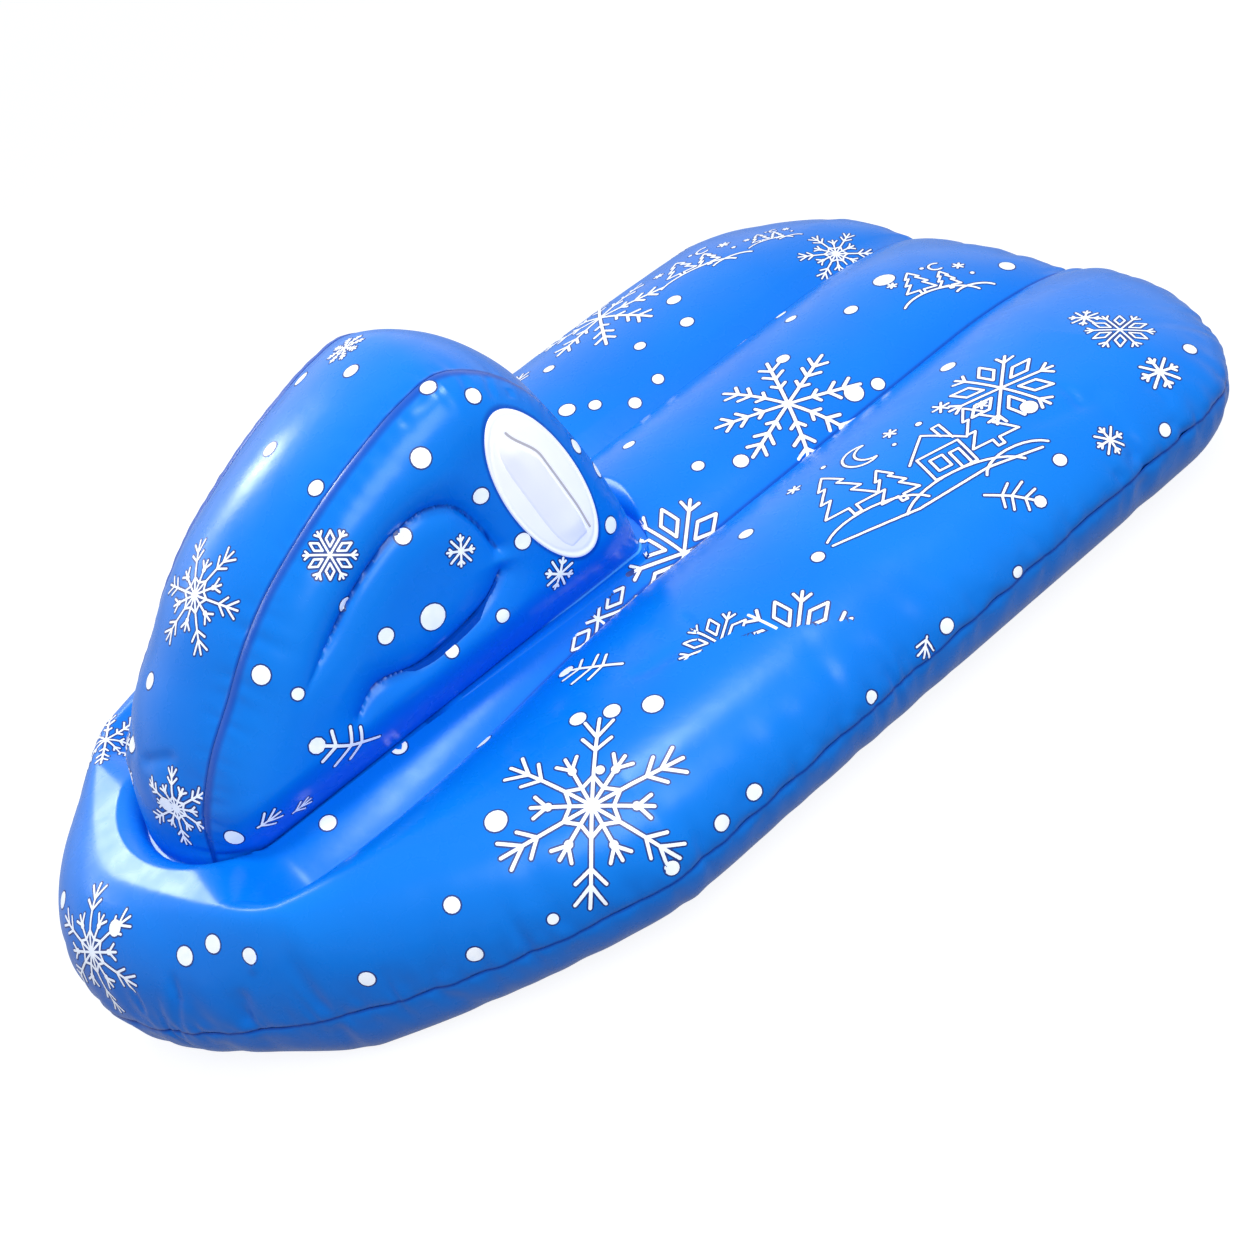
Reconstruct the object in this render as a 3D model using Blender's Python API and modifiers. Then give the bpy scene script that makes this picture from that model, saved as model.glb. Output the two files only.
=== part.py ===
"""Inflatable snow sled: a three-tube base with a raised cowl at the nose to sit behind and hold.

Metres, +Z up. The nose points to -Y and the rider's left hand is at +X.
The origin is under the middle of the base, on the snow.
Every air skin is a thin sheet with a face towards the air inside, welded to its neighbours at the seams.
"""

import math

import bmesh
import bpy
import numpy as np
from mathutils import Matrix, Vector
from mathutils.bvhtree import BVHTree

# Base: overall sizes
SLED_LENGTH = 1.20
HALF_WIDTH = 0.385
REAR_FLARE = 0.0195
TUBE_HEIGHT = 0.174
GROUND_FLAT = 0.0008
NOSE_LENGTH = 0.420
NOSE_TAPER_SHARES = (1.25, 0.527)
NOSE_TIP_HALF_WIDTH = 0.064
NOSE_ROUND = 0.080
NOSE_ROUND_LENGTH = 0.160
REAR_ROUND = 0.215
REAR_ROUND_LENGTH = 0.300
REAR_CORNER_LENGTH = 0.166
REAR_CORNER_INSET = 0.196
REAR_CORNER_SHARES = (2.10, 0.80)
WELD_DROP_FRONT = 0.012
WELD_RISE_REAR = 0.010

# Base: the two lines where its inner walls hold the skins together
SEAM_X_REAR = 0.117
SEAM_X_FRONT = 0.168
SEAM_TURN_REAR_Y = 0.020
SEAM_TURN_FRONT_Y = -0.420
SEAM_FADE_REAR_Y = -0.400
SEAM_FADE_FRONT_Y = -0.472
SEAM_LIMIT_SHARE = 0.66
WALL_HEIGHT = 0.086
WALL_REAR_Y = 0.520
WALL_FRONT_Y = -0.390
WALL_TAB = 0.012

# Sheets, welds and clearances
SKIN = 0.0006
INNER_SHEET = 0.0006
LIP = 0.008
LIP_AIM = 0.260
SEAT_GAP = 0.0003
WELD_GAP = 0.0005
MERGE = 0.00005

# Cowl: its foot on the base, and the flat that it presses into the base
COWL_FRONT_Y = -0.452
COWL_REAR_Y = 0.030
COWL_FOOT_Z = 0.153
COWL_HEIGHT = 0.262
FOOT_HALF_WIDTH_FRONT = 0.099
FOOT_HALF_WIDTH_REAR = 0.092
FOOT_CORNER_FRONT = 0.050
FOOT_CORNER_REAR = 0.012
FOOT_MARGIN = 0.009
PRESS_RISE = 0.026
PRESS_REACH = 0.045

# Cowl: the strip over its front, top and back, and its side panels
STRIP_HALF_WIDTH = 0.086
STRIP_FOOT_HALF_WIDTH = 0.078
STRIP_BULGE = 0.027
CROWN_BULGE = 0.015
CROWN_BULGE_SHARES = (0.25, 0.60)
STRIP_TAPER_SHARE = 0.14
SIDE_BULGE = 0.040
SIDE_ROUND_TOP = 0.060
SIDE_ROUND_FOOT = 0.034
SIDE_LEAST_HEIGHT = 0.0015
TIE_PULL = 0.019
TIE_REACH = 0.032
TIE_CLEARANCE = 0.0012
TIE_FADE_SHARES = (0.24, 0.40)
TIE_USED_SHARES = (0.05, 0.93)
TAB_TEST_SHARES = (0, 0.25, 0.5, 0.75, 1)

# Cowl outline from the side: shares of its length and height, from the front foot over the top
COWL_OUTLINE_SHARES = (
    (0.000, 0.000), (0.030, 0.180), (0.088, 0.340), (0.180, 0.497), (0.240, 0.600),
    (0.320, 0.708), (0.410, 0.797), (0.500, 0.872), (0.600, 0.938), (0.700, 0.988),
    (0.776, 1.000), (0.850, 0.925), (0.912, 0.785), (0.950, 0.600), (0.976, 0.390),
    (0.992, 0.190), (1.000, 0.000),
)
# Lines on the side panels that two inner ties pull in, as shares of the same length and height
UPPER_TIE_SHARES = (
    (0.265, 0.420), (0.363, 0.525), (0.473, 0.638), (0.568, 0.695), (0.627, 0.695),
    (0.668, 0.655), (0.695, 0.553), (0.707, 0.436),
)
LOWER_TIE_SHARES = (
    (0.693, 0.352), (0.658, 0.310), (0.560, 0.266), (0.481, 0.262), (0.388, 0.296), (0.340, 0.254),
)

# Grab handles: a welded plate and a strap that arches over it, one on each side of the cowl
HANDLE_Y = -0.050
HANDLE_Z = 0.292
HANDLE_LEAN = math.radians(9)
PATCH_HALF_LENGTH = 0.082
PATCH_HALF_WIDTH = 0.038
PATCH_SHEET = 0.0024
PATCH_RING_SHARES = ((1.0, 0.55), (0.97, 1.0), (0.78, 1.0), (0.5, 1.0), (0.2, 1.0))
GRIP_LENGTH = 0.132
GRIP_HALF_WIDTH = 0.0150
GRIP_THICKNESS = 0.0034
GRIP_RISE = 0.0150
GRIP_FOOT_SHARE = 0.16
GRIP_EDGE_SHARE = 0.62
GRIP_TAPER_SHARE = 0.30

# Air valves: a welded collar, the stem that pushes in through it, its plug and its inner flap
COLLAR_RADIUS = 0.0190
COLLAR_SHEET = 0.0010
NECK_WALL = 0.0019
NECK_LENGTH = 0.0120
STEM_RADIUS = 0.0073
STEM_WALL = 0.0028
STEM_LENGTH = 0.0220
HEAD_RADIUS = 0.0105
HEAD_THICKNESS = 0.0016
PLUG_LENGTH = 0.0085
CAP_RADIUS = 0.0080
CAP_THICKNESS = 0.0018
TAB_LENGTH = 0.0070
TAB_WIDTH = 0.0060
FLAP_RADIUS = 0.0060
FLAP_SHEET = 0.0006
BASE_VALVE_Y = 0.240
BASE_VALVE_ANGLE = math.radians(18)
COWL_VALVE_SHARE = 0.89

# Facets
OUTER_TUBE_ANGLES = tuple(math.radians(a) for a in (0, 15, 31, 48, 66, 84, 96, 116, 134))
SHELF_SHARES = (0.17, 0.60, 1.0)
DECK_SHELF_SHARE = 0.72
NOSE_ROWS = 5
COWL_BASE_ROWS = 10
DECK_ROWS = 5
REAR_ROWS = 5
COWL_ROWS = 30
SIDE_COLUMNS = 12
STRIP_COLUMNS = 6
TIE_ROWS = 9
PATCH_SIDES = 24
GRIP_ROWS = 14
ROUND_SIDES = 24
CURVE_POINTS = 160
SHARP_ANGLE = math.radians(40)

HALF_HEIGHT = TUBE_HEIGHT / 2
MID_Z = HALF_HEIGHT - GROUND_FLAT
WALL_SHARE = WALL_HEIGHT / TUBE_HEIGHT
ROUND_SHARE = math.sqrt(1 - WALL_SHARE**2)
NOSE_Y = -SLED_LENGTH / 2
REAR_Y = SLED_LENGTH / 2
TAPER_Y = NOSE_Y + NOSE_LENGTH
COWL_LENGTH = COWL_REAR_Y - COWL_FRONT_Y
FOOT_FRONT_Y = COWL_FRONT_Y - STRIP_BULGE
FOOT_REAR_Y = COWL_REAR_Y + CROWN_BULGE
SKIN_FOOT_Z = COWL_FOOT_Z + SEAT_GAP
STEM_BORE_RADIUS = STEM_RADIUS - STEM_WALL
NECK_BORE_RADIUS = STEM_RADIUS + SEAT_GAP
NECK_RADIUS = NECK_BORE_RADIUS + NECK_WALL
PLUG_RADIUS = STEM_BORE_RADIUS - SEAT_GAP


def smooth(start, end, value):
    share = np.clip((value - start) / (end - start), 0, 1)
    return share * share * (3 - 2 * share)


def quarter(share):
    """Height of a quarter circle over 0 to 1, level beyond it."""
    return np.sqrt(1 - (1 - np.clip(share, 0, 1)) ** 2)


def half_width(y):
    """Half the base's width in plan: blunt nose, near-straight sides, rounded rear corners."""
    ahead = np.clip((TAPER_Y - y) / NOSE_LENGTH, 0, 1)
    taper = (1 - ahead ** NOSE_TAPER_SHARES[0]) ** NOSE_TAPER_SHARES[1]
    flare = REAR_FLARE * np.clip((y - TAPER_Y) / (REAR_Y - TAPER_Y), 0, 1)
    behind = np.clip((y - REAR_Y + REAR_CORNER_LENGTH) / REAR_CORNER_LENGTH, 0, 1)
    inset = 1 - (1 - behind ** REAR_CORNER_SHARES[0]) ** REAR_CORNER_SHARES[1]
    width = HALF_WIDTH * taper + flare - REAR_CORNER_INSET * inset
    return np.maximum(width, NOSE_TIP_HALF_WIDTH)


def distance_to(line, x, y):
    """Distance from points to a polyline of shape (n, 2)."""
    start = line[:-1]
    step = line[1:] - start
    points = np.stack([np.ravel(x), np.ravel(y)], -1)[:, None, :]
    along = ((points - start) * step).sum(-1) / (step**2).sum(-1)
    nearest = start + np.clip(along, 0, 1)[..., None] * step
    return np.linalg.norm(points - nearest, axis=-1).min(1).reshape(np.shape(x))


def foot_half_width(y):
    """Half the width of the cowl's foot, rounded in at its front and rear."""
    straight = FOOT_HALF_WIDTH_FRONT + (FOOT_HALF_WIDTH_REAR - FOOT_HALF_WIDTH_FRONT) * smooth(
        COWL_FRONT_Y, COWL_REAR_Y, y
    )
    front = quarter((y - FOOT_FRONT_Y) / (FOOT_CORNER_FRONT + STRIP_BULGE))
    rear = quarter((FOOT_REAR_Y - y) / (FOOT_CORNER_REAR + CROWN_BULGE))
    return straight * front * rear


def shelf_half_width(y):
    """Half the width of the flat that the cowl presses into the base, a little wider than its foot."""
    middle = (FOOT_FRONT_Y + FOOT_REAR_Y) / 2
    reach = (FOOT_REAR_Y - FOOT_FRONT_Y) / 2
    inner_y = middle + (y - middle) * reach / (reach + FOOT_MARGIN)
    return foot_half_width(inner_y) + FOOT_MARGIN


def seam_x(y):
    """Distance of the two base seams from the middle; they part round the cowl's foot."""
    outward = 1 - smooth(SEAM_TURN_FRONT_Y, SEAM_TURN_REAR_Y, y)
    x = SEAM_X_REAR + (SEAM_X_FRONT - SEAM_X_REAR) * outward
    return np.minimum(x, SEAM_LIMIT_SHARE * half_width(y))


def base_stations():
    """Rows along the base, closer together where its ends turn down."""
    nose_turn = np.linspace(0, math.pi / 2, NOSE_ROWS, endpoint=False)
    shelf_front = FOOT_FRONT_Y - FOOT_MARGIN / 2
    shelf_rear = FOOT_REAR_Y + FOOT_MARGIN / 2
    corner_y = REAR_Y - REAR_CORNER_LENGTH
    rear_turn = np.linspace(0, math.pi / 2, REAR_ROWS, endpoint=False)
    return np.concatenate([
        NOSE_Y + (shelf_front - NOSE_Y) * (1 - np.cos(nose_turn)),
        np.linspace(shelf_front, shelf_rear, COWL_BASE_ROWS, endpoint=False),
        np.linspace(shelf_rear, corner_y, DECK_ROWS + 1),
        (REAR_Y - REAR_CORNER_LENGTH * (1 - np.cos(rear_turn)))[::-1],
    ])


def base_plan():
    """Plan positions of the base's facets: one row across for each station, seams on a column."""
    rows = []
    for y in base_stations():
        width = half_width(y)
        seam = min(seam_x(y), SEAM_LIMIT_SHARE * width)
        reach = (width - seam) / (1 + ROUND_SHARE)
        outer = [seam + reach * (ROUND_SHARE + math.cos(a)) for a in OUTER_TUBE_ANGLES]
        inside = FOOT_FRONT_Y - FOOT_MARGIN < y < FOOT_REAR_Y + FOOT_MARGIN
        shelf = shelf_half_width(y) if inside else DECK_SHELF_SHARE * seam
        inner = [shelf * share for share in SHELF_SHARES] + [(shelf + seam) / 2, seam]
        half = np.array(inner + outer[::-1])
        across = np.concatenate([-half[::-1], half])
        rows.append(np.stack([across, np.full(len(across), y)], -1))
    return np.array(rows)


def rim_of(plan):
    """Closed outline of the base, round the edge of its rows."""
    return np.vstack([plan[0], plan[1:, -1], plan[-1, -2::-1], plan[-2::-1, 0]])


def weld_z(y):
    """Height of the weld round the rim, which runs a little lower at the nose than at the rear."""
    return MID_Z - WELD_DROP_FRONT + (WELD_DROP_FRONT + WELD_RISE_REAR) * smooth(NOSE_Y, REAR_Y, y)


def tube_fullness(x, y, rim):
    """Share of the full height that the skin has: round at the rim, drawn in along the seams."""
    seam = seam_x(y)
    outer_round = (half_width(y) - seam) / (1 + ROUND_SHARE)
    nose = 1 - smooth(NOSE_Y + NOSE_ROUND_LENGTH / 2, NOSE_Y + NOSE_ROUND_LENGTH, y)
    rear = smooth(REAR_Y - REAR_ROUND_LENGTH, REAR_Y, y)
    edge_round = outer_round + (NOSE_ROUND - outer_round) * nose + (REAR_ROUND - outer_round) * rear
    edge = quarter(distance_to(rim, x, y) / edge_round)
    beyond = np.abs(x) - seam
    outer = quarter(1 - ROUND_SHARE + np.maximum(beyond, 0) / outer_round)
    centre = np.sqrt(np.clip(1 - (x * ROUND_SHARE / seam) ** 2, 0, 1))
    held = smooth(SEAM_FADE_FRONT_Y, SEAM_FADE_REAR_Y, y)
    return edge * (1 - (1 - np.where(beyond > 0, outer, centre)) * held)


def skin_z(x, y, rim, up):
    """Height of the free upper or lower skin, for up 1 or -1."""
    weld = weld_z(y)
    full = MID_Z + up * HALF_HEIGHT
    return weld + up * WELD_GAP / 2 + (full - weld) * tube_fullness(x, y, rim)


def top_z(x, y, rim):
    """Top skin, held down to a flat under the cowl and rising in a roll round it."""
    line_y = np.linspace(FOOT_FRONT_Y, FOOT_REAR_Y, CURVE_POINTS)
    foot = np.stack([foot_half_width(line_y), line_y], -1)
    inside_y = (y > FOOT_FRONT_Y - FOOT_MARGIN) & (y < FOOT_REAR_Y + FOOT_MARGIN)
    on_shelf = inside_y & (np.abs(x) <= shelf_half_width(y) + MERGE)
    away = np.maximum(distance_to(foot, np.abs(x), y) - FOOT_MARGIN, 0)
    roll = COWL_FOOT_Z + PRESS_RISE * quarter(away / PRESS_REACH)
    return np.where(on_shelf, COWL_FOOT_Z, np.minimum(skin_z(x, y, rim, 1), roll))


def bottom_z(x, y, rim):
    return np.maximum(skin_z(x, y, rim, -1), 0)


def cowl_line(shares):
    """Points (y, z) from shares of the cowl's length and height."""
    table = np.array(shares)
    y = COWL_FRONT_Y + COWL_LENGTH * table[:, 0]
    return np.stack([y, SKIN_FOOT_Z + COWL_HEIGHT * table[:, 1]], -1)


def along_curve(points, shares):
    """Points on a smooth curve through the given ones, at shares of its length."""
    steps = np.linalg.norm(np.diff(points, axis=0), axis=1)
    knots = np.concatenate([[0], np.cumsum(steps)]) / steps.sum()
    slopes = np.gradient(points, knots, axis=0)
    shares = np.asarray(shares)
    spot = np.clip(np.searchsorted(knots, shares, side="right") - 1, 0, len(knots) - 2)
    span = (knots[spot + 1] - knots[spot])[:, None]
    t = (shares - knots[spot])[:, None] / span
    return (
        (2 * t**3 - 3 * t**2 + 1) * points[spot]
        + (t**3 - 2 * t**2 + t) * span * slopes[spot]
        + (3 * t**2 - 2 * t**3) * points[spot + 1]
        + (t**3 - t**2) * span * slopes[spot + 1]
    )


def strip_half_width(share):
    front = smooth(0, STRIP_TAPER_SHARE, share)
    rear = smooth(0, STRIP_TAPER_SHARE, 1 - share)
    return STRIP_FOOT_HALF_WIDTH + (STRIP_HALF_WIDTH - STRIP_FOOT_HALF_WIDTH) * front * rear


def strip_bulge(share):
    """How far the strip's middle stands out past its seams, less over the cowl's crown and back."""
    back = smooth(*CROWN_BULGE_SHARES, share)
    return STRIP_BULGE + (CROWN_BULGE - STRIP_BULGE) * back


def side_x(y, z, edge_x, outline):
    """Distance of the cowl's side skin from the middle, full between its welds and its ties."""
    swell = quarter(distance_to(outline, y, z) / SIDE_ROUND_TOP)
    swell = swell * quarter((z - SKIN_FOOT_Z) / SIDE_ROUND_FOOT)
    lines = (cowl_line(UPPER_TIE_SHARES), cowl_line(LOWER_TIE_SHARES))
    near = np.minimum(*(distance_to(line, y, z) for line in lines))
    held = smooth(*TIE_FADE_SHARES, (y - COWL_FRONT_Y) / COWL_LENGTH)
    return edge_x + swell * (SIDE_BULGE - TIE_PULL * held * (1 - quarter(near / TIE_REACH)))


def side_points():
    """Columns of points up the cowl's left side panel, from its foot to the strip's seam."""
    shares = np.linspace(0, 1, COWL_ROWS + 1)
    seam = along_curve(cowl_line(COWL_OUTLINE_SHARES), shares)
    outline = along_curve(cowl_line(COWL_OUTLINE_SHARES), np.linspace(0, 1, CURVE_POINTS))
    rise = (1 - np.cos(np.linspace(0, math.pi, SIDE_COLUMNS + 1))) / 2
    rows = []
    for share, (y, z) in zip(shares, seam):
        top = max(z, SKIN_FOOT_Z + SIDE_LEAST_HEIGHT)
        z_row = SKIN_FOOT_Z + (top - SKIN_FOOT_Z) * rise
        y_row = np.full(len(rise), y)
        strip_x = strip_half_width(share)
        foot_x = max(strip_x, foot_half_width(y)) if 0 < share < 1 else strip_x
        edge_x = foot_x + (strip_x - foot_x) * rise
        rows.append(np.stack([side_x(y_row, z_row, edge_x, outline), y_row, z_row], -1))
    return np.array(rows)


def strip_points():
    """Rows of points across the strip over the cowl's front, top and back."""
    shares = np.linspace(0, 1, COWL_ROWS + 1)
    seam = along_curve(cowl_line(COWL_OUTLINE_SHARES), shares)
    slope = np.gradient(seam, axis=0)
    slope = slope / np.linalg.norm(slope, axis=1)[:, None]
    outward = np.stack([-slope[:, 1], slope[:, 0]], -1)
    across = np.linspace(-1, 1, STRIP_COLUMNS + 1)
    rows = []
    for share, spot, normal in zip(shares, seam, outward):
        swell = strip_bulge(share) * (1 - across**2)
        half = strip_half_width(share) - WELD_GAP
        rows.append(np.column_stack([half * across, spot + normal * swell[:, None]]))
    rows = np.array(rows)
    rows[[0, -1], :, 2] = SKIN_FOOT_Z
    return rows


def clear_scene():
    for obj in list(bpy.data.objects):
        bpy.data.objects.remove(obj, do_unlink=True)


def new_collection(name):
    collection = bpy.data.collections.new(name)
    bpy.context.scene.collection.children.link(collection)
    return collection


def make_material(name, colour, roughness):
    material = bpy.data.materials.new(name)
    material.use_nodes = True
    shader = material.node_tree.nodes["Principled BSDF"]
    shader.inputs["Base Color"].default_value = (*colour, 1)
    shader.inputs["Roughness"].default_value = roughness
    shader.inputs["Metallic"].default_value = 0
    return material


def mesh_object(name, mesh, collection, material=None):
    data = bpy.data.meshes.new(name)
    mesh.to_mesh(data)
    mesh.free()
    obj = bpy.data.objects.new(name, data)
    collection.objects.link(obj)
    if material:
        data.materials.append(material)
    data.shade_smooth()
    data.set_sharp_from_angle(angle=SHARP_ANGLE)
    return obj


def sheet_mesh(points, outward):
    """An open sheet through rows of points, its faces turned the way that outward says."""
    mesh = bmesh.new()
    verts = [[mesh.verts.new(p) for p in row] for row in points]
    for near, far in zip(verts[:-1], verts[1:]):
        for a, b, c, d in zip(near[:-1], near[1:], far[1:], far[:-1]):
            mesh.faces.new([a, b, c, d])
    mesh.normal_update()
    lean = sum(f.normal.dot(outward(f.calc_center_median())) * f.calc_area() for f in mesh.faces)
    if lean < 0:
        bmesh.ops.reverse_faces(mesh, faces=mesh.faces)
    return mesh


def thicken(obj, thickness, offset=-1):
    solidify = obj.modifiers.new("sheet", "SOLIDIFY")
    solidify.thickness = thickness
    solidify.offset = offset


def combine(obj, other, operation):
    boolean = obj.modifiers.new(operation.lower(), "BOOLEAN")
    boolean.operation = operation
    boolean.solver = "EXACT"
    boolean.object = other
    other.hide_render = True
    other.display_type = "WIRE"


def baked(obj, name, collection, material=None, side=1):
    """A plain mesh of an object with its modifiers, mirrored to the right side for side -1."""
    bpy.context.view_layer.update()
    evaluated = obj.evaluated_get(bpy.context.evaluated_depsgraph_get())
    mesh = bmesh.new()
    mesh.from_mesh(evaluated.to_mesh())
    evaluated.to_mesh_clear()
    mesh.transform(Matrix.Diagonal((side, 1, 1, 1)) @ obj.matrix_world)
    if side < 0:
        bmesh.ops.reverse_faces(mesh, faces=mesh.faces)
    return mesh_object(name, mesh, collection, material)


def loft_mesh(rings):
    """A closed solid through rings of points, with a face over each end."""
    mesh = bmesh.new()
    loops = [[mesh.verts.new(p) for p in ring] for ring in rings]
    for near, far in zip(loops[:-1], loops[1:]):
        for k in range(len(near)):
            after = (k + 1) % len(near)
            mesh.faces.new([near[k], near[after], far[after], far[k]])
    mesh.faces.new(loops[0])
    mesh.faces.new(loops[-1])
    bmesh.ops.recalc_face_normals(mesh, faces=mesh.faces)
    return mesh


def make_base_skin(name, height, up, collection, material):
    """Half of the base's air skin, with the weld lip that turns in round its rim."""
    plan = base_plan()
    z = height(plan[..., 0], plan[..., 1], rim_of(plan))
    for edge in (np.s_[0], np.s_[-1], np.s_[:, 0], np.s_[:, -1]):
        z[edge] = weld_z(plan[edge][..., 1]) + up * WELD_GAP / 2
    mesh = sheet_mesh(np.dstack([plan, z]), lambda _: Vector((0, 0, up)))
    rim_edges = [edge for edge in mesh.edges if edge.is_boundary]
    made = bmesh.ops.extrude_edge_only(mesh, edges=rim_edges)["geom"]
    for vert in (v for v in made if isinstance(v, bmesh.types.BMVert)):
        middle_y = min(max(vert.co.y, NOSE_Y + LIP_AIM), REAR_Y - LIP_AIM)
        inward = Vector((-vert.co.x, middle_y - vert.co.y, 0))
        vert.co += inward.normalized() * LIP
    skin = mesh_object(name, mesh, collection, material)
    thicken(skin, SKIN)
    return skin


def make_base_wall(name, side, collection, material):
    """Inner wall along a seam: a web with a weld tab at its top and its bottom."""
    plan = base_plan()
    rim = rim_of(plan)
    rows = []
    for y in base_stations():
        if not WALL_FRONT_Y <= y <= WALL_REAR_Y:
            continue
        x = seam_x(y)
        inset = SKIN + SEAT_GAP + INNER_SHEET / 2
        top = skin_z(x, y, rim, 1) - inset
        bottom = skin_z(x, y, rim, -1) + inset
        rows.append([
            (side * (x + WALL_TAB), y, top), (side * x, y, top),
            (side * x, y, bottom), (side * (x - WALL_TAB), y, bottom),
        ])
    wall = mesh_object(name, sheet_mesh(rows, lambda _: Vector((1, 0, 0))), collection, material)
    thicken(wall, INNER_SHEET, 0)
    return wall


def make_cowl_tie(name, shares, surface, collection, material):
    """Inner tie between the two side panels, with a weld tab along each end."""
    line = along_curve(cowl_line(shares), np.linspace(*TIE_USED_SHARES, TIE_ROWS + 1))
    slope = np.gradient(line, axis=0)
    slope = slope / np.linalg.norm(slope, axis=1)[:, None]
    above = line + np.stack([-slope[:, 1], slope[:, 0]], -1) * WALL_TAB
    reach = np.array([
        min(surface(*(spot + (tab - spot) * share)) for share in TAB_TEST_SHARES)
        for spot, tab in zip(line, above)
    ])
    after, before = np.append(reach[1:], reach[-1]), np.append(reach[0], reach[:-1])
    reach = np.minimum(reach, np.minimum(after, before))
    rows = []
    for spot, tab, x in zip(line, above, reach - SKIN - TIE_CLEARANCE):
        across = [(-x, *tab), (-x, *spot), (-x / 3, *spot), (x / 3, *spot), (x, *spot), (x, *tab)]
        rows.append(across)
    tie = mesh_object(name, sheet_mesh(rows, lambda _: Vector((0, 0, 1))), collection, material)
    thicken(tie, INNER_SHEET, 0)
    return tie


def surface_under(obj):
    """Function that gives the X of an object's outer face at (y, z), seen from the left."""
    bpy.context.view_layer.update()
    tree = BVHTree.FromObject(obj, bpy.context.evaluated_depsgraph_get())

    def surface(y, z):
        hit = tree.ray_cast(Vector((SLED_LENGTH, y, z)), Vector((-1, 0, 0)))[0]
        return hit.x if hit else STRIP_HALF_WIDTH

    return surface


def handle_point(length, width):
    """(y, z) at a distance along and across the handle from its middle."""
    cos, sin = math.cos(HANDLE_LEAN), math.sin(HANDLE_LEAN)
    return HANDLE_Y - length * sin + width * cos, HANDLE_Z + length * cos + width * sin


def patch_mesh(surface, lift):
    """Oval plate draped on the side panel, still solid down to the strip's width."""
    turn = np.linspace(0, 2 * math.pi, PATCH_SIDES, endpoint=False)

    def ring(share, x_at):
        spots = [
            handle_point(PATCH_HALF_LENGTH * share * math.sin(a), PATCH_HALF_WIDTH * share * math.cos(a))
            for a in turn
        ]
        return [(x_at(y, z), y, z) for y, z in spots]

    rings = [ring(1, lambda y, z: STRIP_FOOT_HALF_WIDTH)]
    for share, height in PATCH_RING_SHARES:
        rings.append(ring(share, lambda y, z: surface(y, z) + PATCH_SHEET * height + lift))
    return loft_mesh(rings)


def grip_mesh(surface):
    """Strap that leaves the plate at a foot, arches over a finger gap and comes back to it."""
    ends = [surface(*handle_point(side * GRIP_LENGTH / 2, 0)) for side in (-1, 1)]
    middle = surface(*handle_point(0, 0))
    rings = []
    for share in np.linspace(-1, 1, GRIP_ROWS + 1):
        chord = ends[0] + (ends[1] - ends[0]) * (share + 1) / 2
        crown = middle - (ends[0] + ends[1]) / 2
        plate_x = chord + crown * (1 - share**2) + PATCH_SHEET
        lift = GRIP_RISE * smooth(0, GRIP_FOOT_SHARE * 2, 1 - abs(share))
        under = -PATCH_SHEET if 1 - abs(share) < GRIP_FOOT_SHARE else lift - GRIP_THICKNESS
        over = max(lift, GRIP_THICKNESS)
        half = GRIP_HALF_WIDTH * (1 - GRIP_TAPER_SHARE * abs(share) ** 6)
        inner = half * GRIP_EDGE_SHARE
        section = [
            (half, (under + over) / 2), (inner, over), (-inner, over),
            (-half, (under + over) / 2), (-inner, under), (inner, under),
        ]
        length = share * GRIP_LENGTH / 2
        rings.append([(plate_x + rise, *handle_point(length, width)) for width, rise in section])
    return loft_mesh(rings)


def make_handle(side_panel, points, parts, cutters, materials):
    surface = surface_under(side_panel)
    swollen = [[(x + SEAT_GAP, y, z) for x, y, z in row] for row in points]
    behind = [[(STRIP_FOOT_HALF_WIDTH / 2, y, z) for x, y, z in row] for row in points]
    panel_cutter = mesh_object("handle_panel_cutter", block_mesh(swollen, behind), cutters)
    plate_cutter = mesh_object("handle_plate_cutter", patch_mesh(surface, SEAT_GAP), cutters)
    patch = mesh_object("handle_patch_shape", patch_mesh(surface, 0), cutters)
    combine(patch, panel_cutter, "DIFFERENCE")
    grip = mesh_object("handle_grip_shape", grip_mesh(surface), cutters)
    combine(grip, plate_cutter, "DIFFERENCE")
    for shape, node in ((patch, "handle_patch"), (grip, "handle_grip")):
        for side, word in ((1, "left"), (-1, "right")):
            name = f"{node}_{word}"
            baked(shape, name, parts, materials[node](name), side)
        shape.hide_render = True
        shape.display_type = "WIRE"


def block_mesh(front, back):
    """A closed block between two matching grids of points."""
    mesh = bmesh.new()
    grids = [[[mesh.verts.new(p) for p in row] for row in grid] for grid in (front, back)]
    rows, columns = len(front), len(front[0])
    for grid in grids:
        for i in range(rows - 1):
            for j in range(columns - 1):
                mesh.faces.new([grid[i][j], grid[i][j + 1], grid[i + 1][j + 1], grid[i + 1][j]])
    edge = [(i, 0) for i in range(rows)] + [(rows - 1, j) for j in range(1, columns)]
    edge += [(i, columns - 1) for i in range(rows - 2, -1, -1)]
    edge += [(0, j) for j in range(columns - 2, 0, -1)]
    for (i, j), (k, m) in zip(edge, edge[1:] + edge[:1]):
        mesh.faces.new([grids[0][i][j], grids[0][k][m], grids[1][k][m], grids[1][i][j]])
    bmesh.ops.recalc_face_normals(mesh, faces=mesh.faces)
    return mesh


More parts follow.
